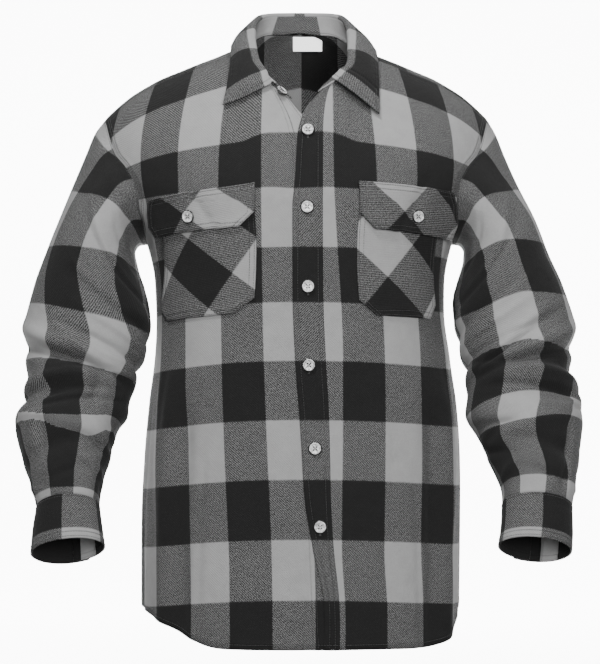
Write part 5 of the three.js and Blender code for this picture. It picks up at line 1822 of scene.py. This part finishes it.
@dataclass
class Buttons:
    """The pearly four-hole buttons, with their threads."""

    room: Workroom
    # Radii in millimetres over which the pearl's painted rim shadow sets in
    rim: tuple[float, float] = (7.0, 7.4)
    hole: float = 0.95
    spacing: float = 1.6
    shank: float = 0.4
    neck_height: float = 0.12
    neck_turn: float = 98.0
    neck_place: float = 0.021
    neck_stand_off: float = 3.0
    cuff_place: tuple[float, float] = (31.0, 0.95)
    cuff_stand_off: float = 0.45
    thread_height: float = 1.9
    hole_ends: tuple[float, float] = (11.0, 7.0)
    hole_lift: float = 0.2
    steps: int = 40
    hole_sides: int = 14
    profile: tuple[tuple[float, float], ...] = (
        (0, 0), (7.6, 0), (8.3, 0.25), (8.6, 0.8), (8.6, 1.4), (8.3, 1.9), (7.5, 2.5), (6.7, 2.7),
        (6.0, 2.6), (5.4, 2.1), (5.0, 1.7), (2.2, 1.6), (0, 1.6),
    )
    front_places: tuple[tuple[float, float], ...] = (
        (10, -111), (9, -208), (10, -307), (11, -405), (18.7, -509), (25, -607),
    )
    pocket_places: tuple[tuple[float, float], ...] = ((-137, -218), (145, -218))

    def master(self) -> bpy.types.Mesh:
        """One button facing +Z, its holes cut through it, with the share of its painted rim shadow at each
        point.

        Returns:
            The mesh, in metres.
        """
        built = bmesh.new()
        outline = [built.verts.new((r * MM, 0, z * MM)) for r, z in self.profile]
        edges = [built.edges.new(pair) for pair in zip(outline, outline[1:])]
        turned = {"axis": (0, 0, 1), "cent": (0, 0, 0), "angle": 2 * math.pi, "steps": self.steps}
        bmesh.ops.spin(built, geom=outline + edges, use_merge=True, use_duplicate=False, **turned)
        bmesh.ops.remove_doubles(built, verts=built.verts, dist=1e-6)
        bmesh.ops.recalc_face_normals(built, faces=built.faces)
        disc = self.scratch("button_disc", built)
        built = bmesh.new()
        for x in (-self.spacing, self.spacing):
            for y in (-self.spacing, self.spacing):
                matrix = Matrix.Translation((x * MM, y * MM, MM))
                size = {"radius1": self.hole * MM, "radius2": self.hole * MM, "depth": 6 * MM}
                bmesh.ops.create_cone(built, cap_ends=True, segments=self.hole_sides, matrix=matrix, **size)
        holes = self.scratch("button_holes", built)
        cut = disc.modifiers.new("holes", "BOOLEAN")
        cut.operation = "DIFFERENCE"
        cut.object = holes
        cut.solver = "EXACT"
        evaluated = disc.evaluated_get(bpy.context.evaluated_depsgraph_get())
        mesh = bpy.data.meshes.new_from_object(evaluated)
        for obj in (disc, holes):
            bpy.data.objects.remove(obj)
        # Painted rim shadow: how far into the dark ring round the edge each point lies
        rim = mesh.attributes.new("rim", "FLOAT", "POINT")
        for vertex, share in zip(mesh.vertices, rim.data):
            share.value = float(smooth(np.array(vertex.co.xy.length / MM), *self.rim))
        return mesh

    @staticmethod
    def scratch(name: str, built: bmesh.types.BMesh) -> bpy.types.Object:
        """An object made from a built mesh, for cutting with.

        Args:
            name: the object's name.
            built: the mesh, which is used up.

        Returns:
            The object.
        """
        mesh = bpy.data.meshes.new(name)
        built.to_mesh(mesh)
        built.free()
        obj = bpy.data.objects.new(name, mesh)
        bpy.context.scene.collection.objects.link(obj)
        return obj

    def place(self, node: str, mesh: bpy.types.Mesh, centre: Array, normal: Array, up: Array) -> None:
        """Places a button on the cloth, and its two threads.

        Args:
            node: the solid's name.
            mesh: the button that is copied.
            centre: where its back stands.
            normal: the way it faces.
            up: roughly the way up the cloth.
        """
        z = unit(np.asarray(normal, float))
        x = unit(np.cross(up, z))
        y = np.cross(z, x)
        axes = Matrix(np.array([x, y, z]).T.tolist()).to_4x4()
        copied = mesh.copy()
        copied.name = f"{node}_pearl"
        copied.transform(Matrix.Translation((centre * MM).tolist()) @ axes)
        copied.materials.clear()
        copied.materials.append(self.room.finishes["pearl"])
        copied.shade_smooth()
        copied.set_sharp_from_angle(angle=math.radians(40))
        obj = bpy.data.objects.new(f"{node}_pearl", copied)
        bpy.context.scene.collection.objects.link(obj)
        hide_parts(node)
        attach(obj, "root")
        for side in (-1, 1):
            reach, top = (x * side + y) * self.spacing, z * self.thread_height
            self.room.threads.append((centre - reach + top, centre + reach + top))
        log.info("%s placed", obj.name)

    def build(self) -> None:
        """Places every button."""
        mesh = self.master()
        places = [(f"front_button_{i + 1}", x, z, FOLDED / 2) for i, (x, z) in enumerate(self.front_places)]
        flap = FLAP_LIFT + FOLDED / 2
        places += [
            ("right_pocket_button", *self.pocket_places[0], flap),
            ("left_pocket_button", *self.pocket_places[1], flap),
        ]
        for node, x, z, lift in places:
            over = FORM.over_at(np.array([x]), np.array([z]))
            turn = FORM.turn_at(np.array([x]), over)
            points, normals = FORM.frame(turn, over)
            centre = points[0] + normals[0] * (lift + self.shank)
            self.place(node, mesh, centre, normals[0], np.array([0.0, 0.0, 1.0]))
            if node.startswith("front"):
                up = unit(np.cross(np.cross(normals[0], [0, 0, 1]), normals[0]))
                lower = points[0] + normals[0] * (lift + self.hole_lift)
                below, above = self.hole_ends
                self.room.holes.append((lower - up * below, lower + up * above, normals[0]))
        collar = Collar(self.room)
        foot, top, up, out = collar.frame(self.neck_place)
        centre = foot * (1 - self.neck_height) + top * self.neck_height
        centre = centre + out * (FOLDED / 2 + self.neck_stand_off)
        turned = Matrix.Rotation(math.radians(self.neck_turn), 3, Vector(up.tolist())) @ Vector(out.tolist())
        self.place("neck_button", mesh, centre, np.array(turned), up)
        for side in Side:
            sleeve = Sleeve(self.room, side)
            along, share = self.cuff_place
            places = np.array([share, share + 0.001, share])
            points = sleeve.cuff_grid(np.array([along, along, along + 1]), places)
            around, down = points[1] - points[0], points[2] - points[0]
            normal = unit(np.cross(around, down))
            normal = normal if normal @ (points[0] - sleeve.middle(np.array([along]))[0]) > 0 else -normal
            centre = points[0] + normal * (FOLDED / 2 + self.shank + self.cuff_stand_off)
            self.place(f"{side.word}_cuff_button", mesh, centre, normal, -down)


@dataclass
class Stitching:
    """The threads: a row of short stitches on each seam, and close bars round the buttonholes."""

    room: Workroom
    length: float = 2.3
    gap: float = 1.0
    radius: float = 0.24
    bar: float = 2.6
    bar_radius: float = 0.3
    pitch: float = 0.6
    cross: float = 3.2
    cross_radius: float = 0.45
    seed: int = 7

    def curves(self, name: str, paths: Sequence[tuple[Array, Array]]) -> bpy.types.Object:
        """Lines as a mesh of edges, with the cloth's normal at each point.

        Args:
            name: the object's name.
            paths: points and normals of each line.

        Returns:
            The object.
        """
        points = np.concatenate([path for path, _ in paths]) * MM
        facing = np.concatenate([normals for _, normals in paths])
        starts = np.cumsum([0] + [len(path) for path, _ in paths])
        edges = [(k, k + 1) for a, b in zip(starts, starts[1:]) for k in range(a, b - 1)]
        mesh = bpy.data.meshes.new(name)
        mesh.from_pydata(points.tolist(), edges, [])
        attribute = mesh.attributes.new("facing", "FLOAT_VECTOR", "POINT")
        attribute.data.foreach_set("vector", facing.reshape(-1).astype(np.float32))
        obj = bpy.data.objects.new(name, mesh)
        bpy.context.scene.collection.objects.link(obj)
        return obj

    def tree(self) -> bpy.types.GeometryNodeTree:
        """The tree that lays one thread after another along the lines.

        Returns:
            The node tree, with its sizes as inputs.
        """
        tree = bpy.data.node_groups.new("Stitches", "GeometryNodeTree")
        face = tree.interface
        face.new_socket("Geometry", in_out="INPUT", socket_type="NodeSocketGeometry")
        for name, value in (("Step", 0.0033), ("Length", 0.0023), ("Radius", 0.00024), ("Across", 0.0)):
            socket = face.new_socket(name, in_out="INPUT", socket_type="NodeSocketFloat")
            socket.default_value = value
        seed = face.new_socket("Seed", in_out="INPUT", socket_type="NodeSocketInt")
        seed.default_value = 7
        face.new_socket("Thread", in_out="INPUT", socket_type="NodeSocketMaterial")
        face.new_socket("Geometry", in_out="OUTPUT", socket_type="NodeSocketGeometry")
        graph = Graph(tree)
        given = graph.add("NodeGroupInput").outputs
        curve = graph.add("GeometryNodeMeshToCurve", {"Mesh": given["Geometry"]}).outputs["Curve"]
        steps = {"Curve": curve, "Length": given["Step"]}
        spaced = graph.add("GeometryNodeCurveToPoints", steps, mode="LENGTH")
        facing = graph.add("GeometryNodeInputNamedAttribute", {"Name": "facing"}, data_type="FLOAT_VECTOR")
        side = graph.vector("CROSS_PRODUCT", spaced.outputs["Tangent"], facing.outputs["Attribute"])
        ways = {"Factor": given["Across"], 4: spaced.outputs["Tangent"], 5: side}
        way = graph.add("ShaderNodeMix", ways, data_type="VECTOR").outputs[1]
        turned = graph.add("FunctionNodeAlignRotationToVector", {"Vector": way}, axis="Z", pivot_axis="AUTO")
        sizes = {"Vertices": 6, "Side Segments": 1, "Radius": given["Radius"], "Depth": given["Length"]}
        thread = graph.add("GeometryNodeMeshCylinder", sizes)
        range_of = {2: 0.85, 3: 1.15, "Seed": given["Seed"]}
        scale = graph.add("FunctionNodeRandomValue", range_of, data_type="FLOAT").outputs[1]
        parts = {"Points": spaced.outputs["Points"], "Instance": thread.outputs["Mesh"]}
        parts |= {"Rotation": turned.outputs["Rotation"], "Scale": scale}
        laid = graph.add("GeometryNodeInstanceOnPoints", parts)
        real = graph.add("GeometryNodeRealizeInstances", {"Geometry": laid.outputs["Instances"]})
        finish = {"Geometry": real.outputs["Geometry"], "Material": given["Thread"]}
        dressed = graph.add("GeometryNodeSetMaterial", finish)
        graph.add("NodeGroupOutput", {"Geometry": dressed.outputs["Geometry"]})
        return tree

    def lay(self, name: str, paths: Sequence[tuple[Array, Array]], sizes: dict[str, float]) -> None:
        """Lays threads on lines and leaves them as a plain mesh.

        Args:
            name: the piece's name.
            paths: points and normals of each line.
            sizes: values of the tree's inputs by name.
        """
        source = self.curves(f"{name}_lines", paths)
        modifier = source.modifiers.new("stitches", "NODES")
        modifier.node_group = self.tree()
        values = dict(sizes) | {"Seed": self.seed, "Thread": self.room.finishes["thread"]}
        for item in modifier.node_group.interface.items_tree:
            if item.in_out == "INPUT" and item.name in values:
                modifier[item.identifier] = values[item.name]
        bpy.context.view_layer.update()
        evaluated = source.evaluated_get(bpy.context.evaluated_depsgraph_get())
        mesh = bpy.data.meshes.new_from_object(evaluated)
        mesh.name = name
        bpy.data.objects.remove(source)
        obj = bpy.data.objects.new(name, mesh)
        bpy.context.scene.collection.objects.link(obj)
        if not mesh.materials:
            mesh.materials.append(self.room.finishes["thread"])
        mesh.shade_smooth()
        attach(obj, "root")
        log.info("%s: %d faces", name, len(mesh.polygons))

    def build(self) -> None:
        """Lays the seams' stitches and the buttonholes' bars."""
        step = (self.length + self.gap) * MM
        sizes = {"Step": step, "Length": self.length * MM, "Radius": self.radius * MM, "Across": 0.0}
        self.lay("seam_stitches", self.room.lines, sizes)
        bars = {"Step": self.pitch * MM, "Length": self.bar * MM, "Radius": self.bar_radius * MM}
        bars["Across"] = 1.0
        holes = self.room.holes
        lines = [(np.linspace(low, high, 6), np.tile(normal, (6, 1))) for low, high, normal in holes]
        self.lay("buttonhole_stitches", lines, bars)
        threads = []
        for low, high in self.room.threads:
            way = unit(high - low)
            threads.append((np.array([low - way * 0.1, high + way * 0.1]), np.tile([0.0, -1.0, 0.0], (2, 1))))
        sizes = {"Step": 2.9 * MM, "Length": self.cross * MM, "Radius": self.cross_radius * MM, "Across": 0.0}
        self.lay("button_threads", threads, sizes)


@dataclass
class Graph:
    """A node tree that is being built."""

    tree: bpy.types.NodeTree

    def add(self, kind: str, values: dict[Any, Any] | None = None, **settings: Any) -> bpy.types.Node:
        """Adds a node.

        Args:
            kind: its type.
            values: what its inputs are set or linked to.
            **settings: its own properties.

        Returns:
            The node.
        """
        node = self.tree.nodes.new(kind)
        for name, value in settings.items():
            setattr(node, name, value)
        for key, value in (values or {}).items():
            if isinstance(value, bpy.types.NodeSocket):
                self.tree.links.new(value, node.inputs[key])
            else:
                node.inputs[key].default_value = value
        return node

    def math(self, operation: str, *values: Any) -> bpy.types.NodeSocket:
        """The result of a sum on numbers."""
        return self.add("ShaderNodeMath", dict(enumerate(values)), operation=operation).outputs[0]

    def vector(self, operation: str, *values: Any) -> bpy.types.NodeSocket:
        """The result of a sum on vectors."""
        return self.add("ShaderNodeVectorMath", dict(enumerate(values)), operation=operation).outputs[0]

    def ramp(
        self, value: Any, low: float, high: float, start: float = 0.0, end: float = 1.0
    ) -> bpy.types.NodeSocket:
        """A smooth rise from start to end as a value passes from low to high."""
        values = {"Value": value, "From Min": low, "From Max": high, "To Min": start, "To Max": end}
        return self.add("ShaderNodeMapRange", values, interpolation_type="SMOOTHSTEP").outputs["Result"]

    def noise(self, where: Any, scale: float, detail: float = 2.0) -> bpy.types.NodeSocket:
        """Soft noise."""
        return self.add("ShaderNodeTexNoise", {"Vector": where, "Scale": scale, "Detail": detail}).outputs[0]


def shader_group(name: str, inputs: dict[str, tuple[str, Any]], outputs: dict[str, str]) -> Graph:
    """Starts a group of shader nodes.

    Args:
        name: the group's name.
        inputs: each input's type and value by name.
        outputs: each output's type by name.

    Returns:
        The tree that is being built.
    """
    tree = bpy.data.node_groups.new(name, "ShaderNodeTree")
    for key, (kind, value) in inputs.items():
        socket = tree.interface.new_socket(key, in_out="INPUT", socket_type=kind)
        if value is not None:
            socket.default_value = value
    for key, kind in outputs.items():
        tree.interface.new_socket(key, in_out="OUTPUT", socket_type=kind)
    return Graph(tree)


def nap_group() -> bpy.types.NodeTree:
    """Brushed fibres: soft patches, fine fuzz, and a shallow rumple.

    Returns:
        The shader group.
    """
    graph = shader_group(
        "Nap",
        {"Strength": ("NodeSocketFloat", 1.0)},
        {"Shade": "NodeSocketFloat", "Height": "NodeSocketFloat"},
    )
    given = graph.add("NodeGroupInput").outputs
    where = graph.add("ShaderNodeTexCoord").outputs["Object"]
    patches = graph.noise(where, 60, 3)
    fuzz = graph.noise(where, 700, 3)
    sum_of = graph.math("MULTIPLY_ADD", fuzz, 0.55, graph.math("MULTIPLY", patches, 0.45))
    centred = graph.math("MULTIPLY", graph.math("SUBTRACT", sum_of, 0.5), given["Strength"])
    shade = graph.math("MULTIPLY_ADD", centred, 0.45, 1.0)
    rumple = graph.noise(where, 32, 3)
    height = graph.math("MULTIPLY_ADD", fuzz, 0.22, graph.math("MULTIPLY", rumple, 1.9))
    height = graph.math("MULTIPLY", height, given["Strength"])
    graph.add("NodeGroupOutput", {"Shade": shade, "Height": height})
    return graph.tree


def seam_group() -> bpy.types.NodeTree:
    """Topstitching's groove with painted shade in it, and the puckers that it pulls on both sides.

    Returns:
        The shader group.
    """
    graph = shader_group(
        "Seam",
        {"Groove": ("NodeSocketFloat", 0.5), "Pucker": ("NodeSocketFloat", 1.1)},
        {"Shade": "NodeSocketFloat", "Height": "NodeSocketFloat"},
    )
    given = graph.add("NodeGroupInput").outputs
    away = graph.add("ShaderNodeAttribute", attribute_name="stitch").outputs["Fac"]
    groove = graph.ramp(away, 0.0, 1.6, 1.0, 0.0)
    near = graph.ramp(away, 1.0, 9.0, 1.0, 0.0)
    where = graph.add("ShaderNodeTexCoord").outputs["Object"]
    pucker = graph.math("MULTIPLY", graph.math("MULTIPLY", graph.noise(where, 150, 1), near), given["Pucker"])
    height = graph.math("SUBTRACT", pucker, graph.math("MULTIPLY", groove, given["Groove"]))
    # Painted shade: the colour darkens by up to 16 percent in the groove
    shade = graph.math("SUBTRACT", 1.0, graph.math("MULTIPLY", groove, 0.16))
    graph.add("NodeGroupOutput", {"Shade": shade, "Height": height})
    return graph.tree


@dataclass(frozen=True)
class Flannel:
    """Brushed twill in a two-tone buffalo check."""

    light: float = 0.36
    dark: float = 0.0145
    mixed: float = 1.95
    speckle: float = 0.24
    twill: float = 3.1
    grain: float = 0.42
    grain_size: float = 46.0
    warp: float = 54.0
    weft: float = 74.3
    roughness: float = 0.92
    sheen: float = 0.06

    def check(self) -> bpy.types.NodeTree:
        """Turns bands of the check into a shade and the twill's height.

        Returns:
            The shader group.
        """
        graph = shader_group(
            "Buffalo check",
            {
                "Bands": ("NodeSocketVector", None),
                "Light": ("NodeSocketFloat", self.light),
                "Dark": ("NodeSocketFloat", self.dark),
            },
            {"Shade": "NodeSocketFloat", "Height": "NodeSocketFloat"},
        )
        given = graph.add("NodeGroupInput").outputs
        split = graph.add("ShaderNodeSeparateXYZ", {"Vector": given["Bands"]}).outputs
        waver = graph.math("SUBTRACT", graph.noise(given["Bands"], 26, 2), 0.5)
        shares = []
        for axis in (0, 1):
            place = graph.math("MULTIPLY_ADD", waver, 0.03, split[axis])
            wave = graph.math("SINE", graph.math("MULTIPLY", place, math.pi))
            shares.append(graph.ramp(wave, 0.055, -0.055))
        across = graph.math("MULTIPLY", split[0], self.warp / self.twill)
        up = graph.math("MULTIPLY", split[1], self.weft / self.twill)
        phase = graph.math("MULTIPLY", graph.math("ADD", across, up), 2 * math.pi)
        broken = graph.math("MULTIPLY", graph.noise(given["Bands"], 60, 1), 5.0)
        over = graph.math("SINE", graph.math("ADD", phase, broken))
        both = graph.math("MULTIPLY", graph.math("ADD", *shares), 0.5)
        flat = graph.math("POWER", both, self.mixed)
        differ = graph.math("ABSOLUTE", graph.math("SUBTRACT", *shares))
        heather = graph.math("SUBTRACT", graph.noise(given["Bands"], self.grain_size, 1), 0.5)
        thread = graph.math("MULTIPLY", over, self.speckle)
        both_ways = graph.math("MULTIPLY_ADD", heather, self.grain * 3, thread)
        speck = graph.math("MULTIPLY", both_ways, graph.math("MULTIPLY_ADD", differ, 0.93, 0.07))
        tone = graph.math("MAXIMUM", graph.math("ADD", flat, speck), 0.0)
        reach = graph.math("SUBTRACT", given["Light"], given["Dark"])
        shade = graph.math("MULTIPLY_ADD", tone, reach, given["Dark"])
        graph.add("NodeGroupOutput", {"Shade": shade, "Height": graph.math("MULTIPLY", over, 0.1)})
        return graph.tree

    def material(self, nap: bpy.types.NodeTree, seam: bpy.types.NodeTree) -> bpy.types.Material:
        """The finished cloth.

        Args:
            nap: the group of brushed fibres.
            seam: the group of the topstitching's groove.

        Returns:
            The material.
        """
        material, graph, shader = start_material("check flannel")
        bands = graph.add("ShaderNodeUVMap", uv_map="cloth").outputs["UV"]
        check = graph.add("ShaderNodeGroup", {}, node_tree=self.check())
        graph.tree.links.new(bands, check.inputs["Bands"])
        fibres = graph.add("ShaderNodeGroup", {}, node_tree=nap).outputs
        sewn = graph.add("ShaderNodeGroup", {}, node_tree=seam).outputs
        shade = graph.math("MULTIPLY", check.outputs["Shade"], fibres["Shade"])
        # The seam group paints shade into the topstitching's grooves
        shade = graph.math("MULTIPLY", shade, sewn["Shade"])
        tint = graph.add("ShaderNodeCombineColor", {"Red": shade, "Green": shade, "Blue": shade}).outputs[0]
        height = graph.math("ADD", fibres["Height"], check.outputs["Height"])
        height = graph.math("ADD", height, sewn["Height"])
        bump = graph.add("ShaderNodeBump", {"Height": height, "Strength": 1.0, "Distance": 0.001})
        graph.tree.links.new(tint, shader.inputs["Base Color"])
        graph.tree.links.new(bump.outputs["Normal"], shader.inputs["Normal"])
        shader.inputs["Roughness"].default_value = self.roughness
        shader.inputs["Sheen Weight"].default_value = self.sheen
        shader.inputs["Sheen Roughness"].default_value = 0.55
        shader.inputs["Specular IOR Level"].default_value = 0.12
        return material


def start_material(name: str) -> tuple[bpy.types.Material, Graph, bpy.types.Node]:
    """Starts a material of nodes.

    Args:
        name: its name.

    Returns:
        The material, its tree and its shader.
    """
    material = bpy.data.materials.new(name)
    material.use_nodes = True
    material.node_tree.nodes.clear()
    graph = Graph(material.node_tree)
    shader = graph.add("ShaderNodeBsdfPrincipled")
    graph.add("ShaderNodeOutputMaterial", {"Surface": shader.outputs["BSDF"]})
    return material, graph, shader


@dataclass(frozen=True)
class Pearl:
    """Pearly button plastic with soft clouds, and a painted shadow round its rim."""

    light: float = 0.98
    dark: float = 0.5
    # How much colour is left under the painted rim shadow
    rim: float = 0.04
    roughness: float = 0.22

    def material(self) -> bpy.types.Material:
        """The button's material.

        Returns:
            The material.
        """
        material, graph, shader = start_material("pearl button")
        where = graph.add("ShaderNodeTexCoord").outputs["Object"]
        clouds = graph.ramp(graph.noise(where, 380, 2), 0.4, 0.6, self.dark, self.light)
        grey = {"Red": clouds, "Green": clouds, "Blue": clouds}
        tint = graph.add("ShaderNodeCombineColor", grey).outputs[0]
        # Painted rim shadow: the colour darkens towards the button's outer edge
        rim = graph.add("ShaderNodeAttribute", attribute_name="rim").outputs["Fac"]
        edge = graph.ramp(rim, 0.0, 1.0, 1.0, self.rim)
        shaded = graph.vector("SCALE", tint)
        graph.tree.links.new(edge, shaded.node.inputs["Scale"])
        graph.tree.links.new(shaded, shader.inputs["Base Color"])
        shader.inputs["Roughness"].default_value = self.roughness
        shader.inputs["Coat Weight"].default_value = 0.5
        shader.inputs["Coat Roughness"].default_value = 0.1
        return material


@dataclass(frozen=True)
class Plain:
    """Plain cloth or thread of one shade, with a little nap, and a painted glow where one is given."""

    name: str
    shade: float
    roughness: float
    nap: float
    # Painted light: emission that brightens the cloth from within, as if more light fell on it
    glow: float = 0.0

    def material(self, nap: bpy.types.NodeTree) -> bpy.types.Material:
        """The material.

        Args:
            nap: the group of brushed fibres.

        Returns:
            The material.
        """
        material, graph, shader = start_material(self.name)
        group = graph.add("ShaderNodeGroup", {}, node_tree=nap)
        group.inputs["Strength"].default_value = self.nap
        shade = graph.math("MULTIPLY", group.outputs["Shade"], self.shade)
        tint = graph.add("ShaderNodeCombineColor", {"Red": shade, "Green": shade, "Blue": shade}).outputs[0]
        relief = {"Height": group.outputs["Height"], "Strength": 1.0, "Distance": 0.001}
        bump = graph.add("ShaderNodeBump", relief)
        graph.tree.links.new(tint, shader.inputs["Base Color"])
        graph.tree.links.new(bump.outputs["Normal"], shader.inputs["Normal"])
        shader.inputs["Roughness"].default_value = self.roughness
        # Painted glow: the cloth emits white light of this strength
        shader.inputs["Emission Color"].default_value = (1.0, 1.0, 1.0, 1.0)
        shader.inputs["Emission Strength"].default_value = self.glow
        return material


@dataclass(frozen=True)
class Light:
    """A soft light that is aimed at the shirt."""

    name: str
    place: tuple[float, float, float]
    width: float
    power: float

    def build(self, aim: Vector) -> None:
        """Makes the light.

        Args:
            aim: the point that it faces.
        """
        data = bpy.data.lights.new(self.name, "AREA")
        data.shape = "DISK"
        data.size = self.width
        data.energy = self.power
        obj = bpy.data.objects.new(self.name, data)
        obj.location = self.place
        obj.rotation_euler = (aim - Vector(self.place)).to_track_quat("-Z", "Y").to_euler()
        bpy.context.scene.collection.objects.link(obj)


@dataclass
class Studio:
    """The pale sweep, the lights and the camera."""

    lights: tuple[Light, ...] = (
        Light("key_light", (-0.6, -1.4, 2.1), 0.5, 50.0),
        Light("fill_light", (0.6, -3.4, 0.3), 2.0, 102.0),
        Light("top_light", (0.3, 0.4, 2.0), 1.2, 12.0),
    )
    floor: float = -0.86
    ambient: float = 0.2
    distance: float = 3.5
    height: float = -0.364
    tall: float = 0.8632
    near: float = 0.4
    bend: float = 0.8
    start: float = 1.2
    rise: float = 1.7
    half_width: float = 1.3
    glow: float = 9.0

    def sweep(self) -> None:
        """Makes the floor, which curves up behind the shirt."""
        start, bend = self.start, self.bend
        profile = [(self.near, 0.0), (start, 0.0)]
        for angle in np.linspace(0.1, QUARTER, 14):
            profile.append((start + math.sin(angle) * bend, bend - math.cos(angle) * bend))
        profile += [(start + bend, self.rise)]
        vertices = [(x, y, self.floor + z) for y, z in profile for x in (-self.half_width, self.half_width)]
        faces = [(2 * k, 2 * k + 1, 2 * k + 3, 2 * k + 2) for k in range(len(profile) - 1)]
        mesh = bpy.data.meshes.new("sweep")
        mesh.from_pydata(vertices, [], faces)
        material, _, shader = start_material("pale sweep")
        shader.inputs["Base Color"].default_value = (0.9, 0.9, 0.9, 1.0)
        shader.inputs["Roughness"].default_value = 1.0
        shader.inputs["Specular IOR Level"].default_value = 0.0
        shader.inputs["Emission Color"].default_value = (1.0, 1.0, 1.0, 1.0)
        shader.inputs["Emission Strength"].default_value = self.glow
        mesh.materials.append(material)
        mesh.shade_smooth()
        obj = bpy.data.objects.new("sweep", mesh)
        bpy.context.scene.collection.objects.link(obj)

    def build(self) -> None:
        """Makes the studio."""
        self.sweep()
        world = bpy.data.worlds.new("studio")
        world.use_nodes = True
        background = world.node_tree.nodes["Background"]
        background.inputs["Color"].default_value = (1.0, 1.0, 1.0, 1.0)
        background.inputs["Strength"].default_value = self.ambient
        bpy.context.scene.world = world
        aim = Vector((0.0, 0.0, self.height))
        for light in self.lights:
            light.build(aim)
        camera = bpy.data.cameras.new("camera")
        camera.sensor_width = 36.0
        camera.lens = camera.sensor_width * self.distance / self.tall
        obj = bpy.data.objects.new("camera", camera)
        obj.location = (0.0, -self.distance, self.height)
        obj.rotation_euler = (QUARTER, 0.0, 0.0)
        bpy.context.scene.collection.objects.link(obj)
        bpy.context.scene.camera = obj


def main() -> None:
    """Builds the finished shirt."""
    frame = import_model()
    log.info("loaded %d nodes", len(frame["nodes"]))
    nap, seam = nap_group(), seam_group()
    finishes = {
        "flannel": Flannel().material(nap, seam),
        "pearl": Pearl().material(),
        "thread": Plain("sewing thread", 0.07, 0.7, 0.3).material(nap),
        # The label's glow is painted light: emission that makes it brighter than its lit shade
        "label": Plain("blank label", 0.95, 0.6, 0.1, glow=1.4).material(nap),
    }
    room = Workroom(Chart(), CheckPlan(), finishes)
    Fronts(room).build()
    BackAndYoke(room).build()
    Collar(room).build()
    for side in Side:
        Sleeve(room, side).build()
        Pocket(room, side).build()
    NeckLabel(room).build()
    Buttons(room).build()
    Stitching(room).build()
    Studio().build()


if __name__ == "__main__":
    main()
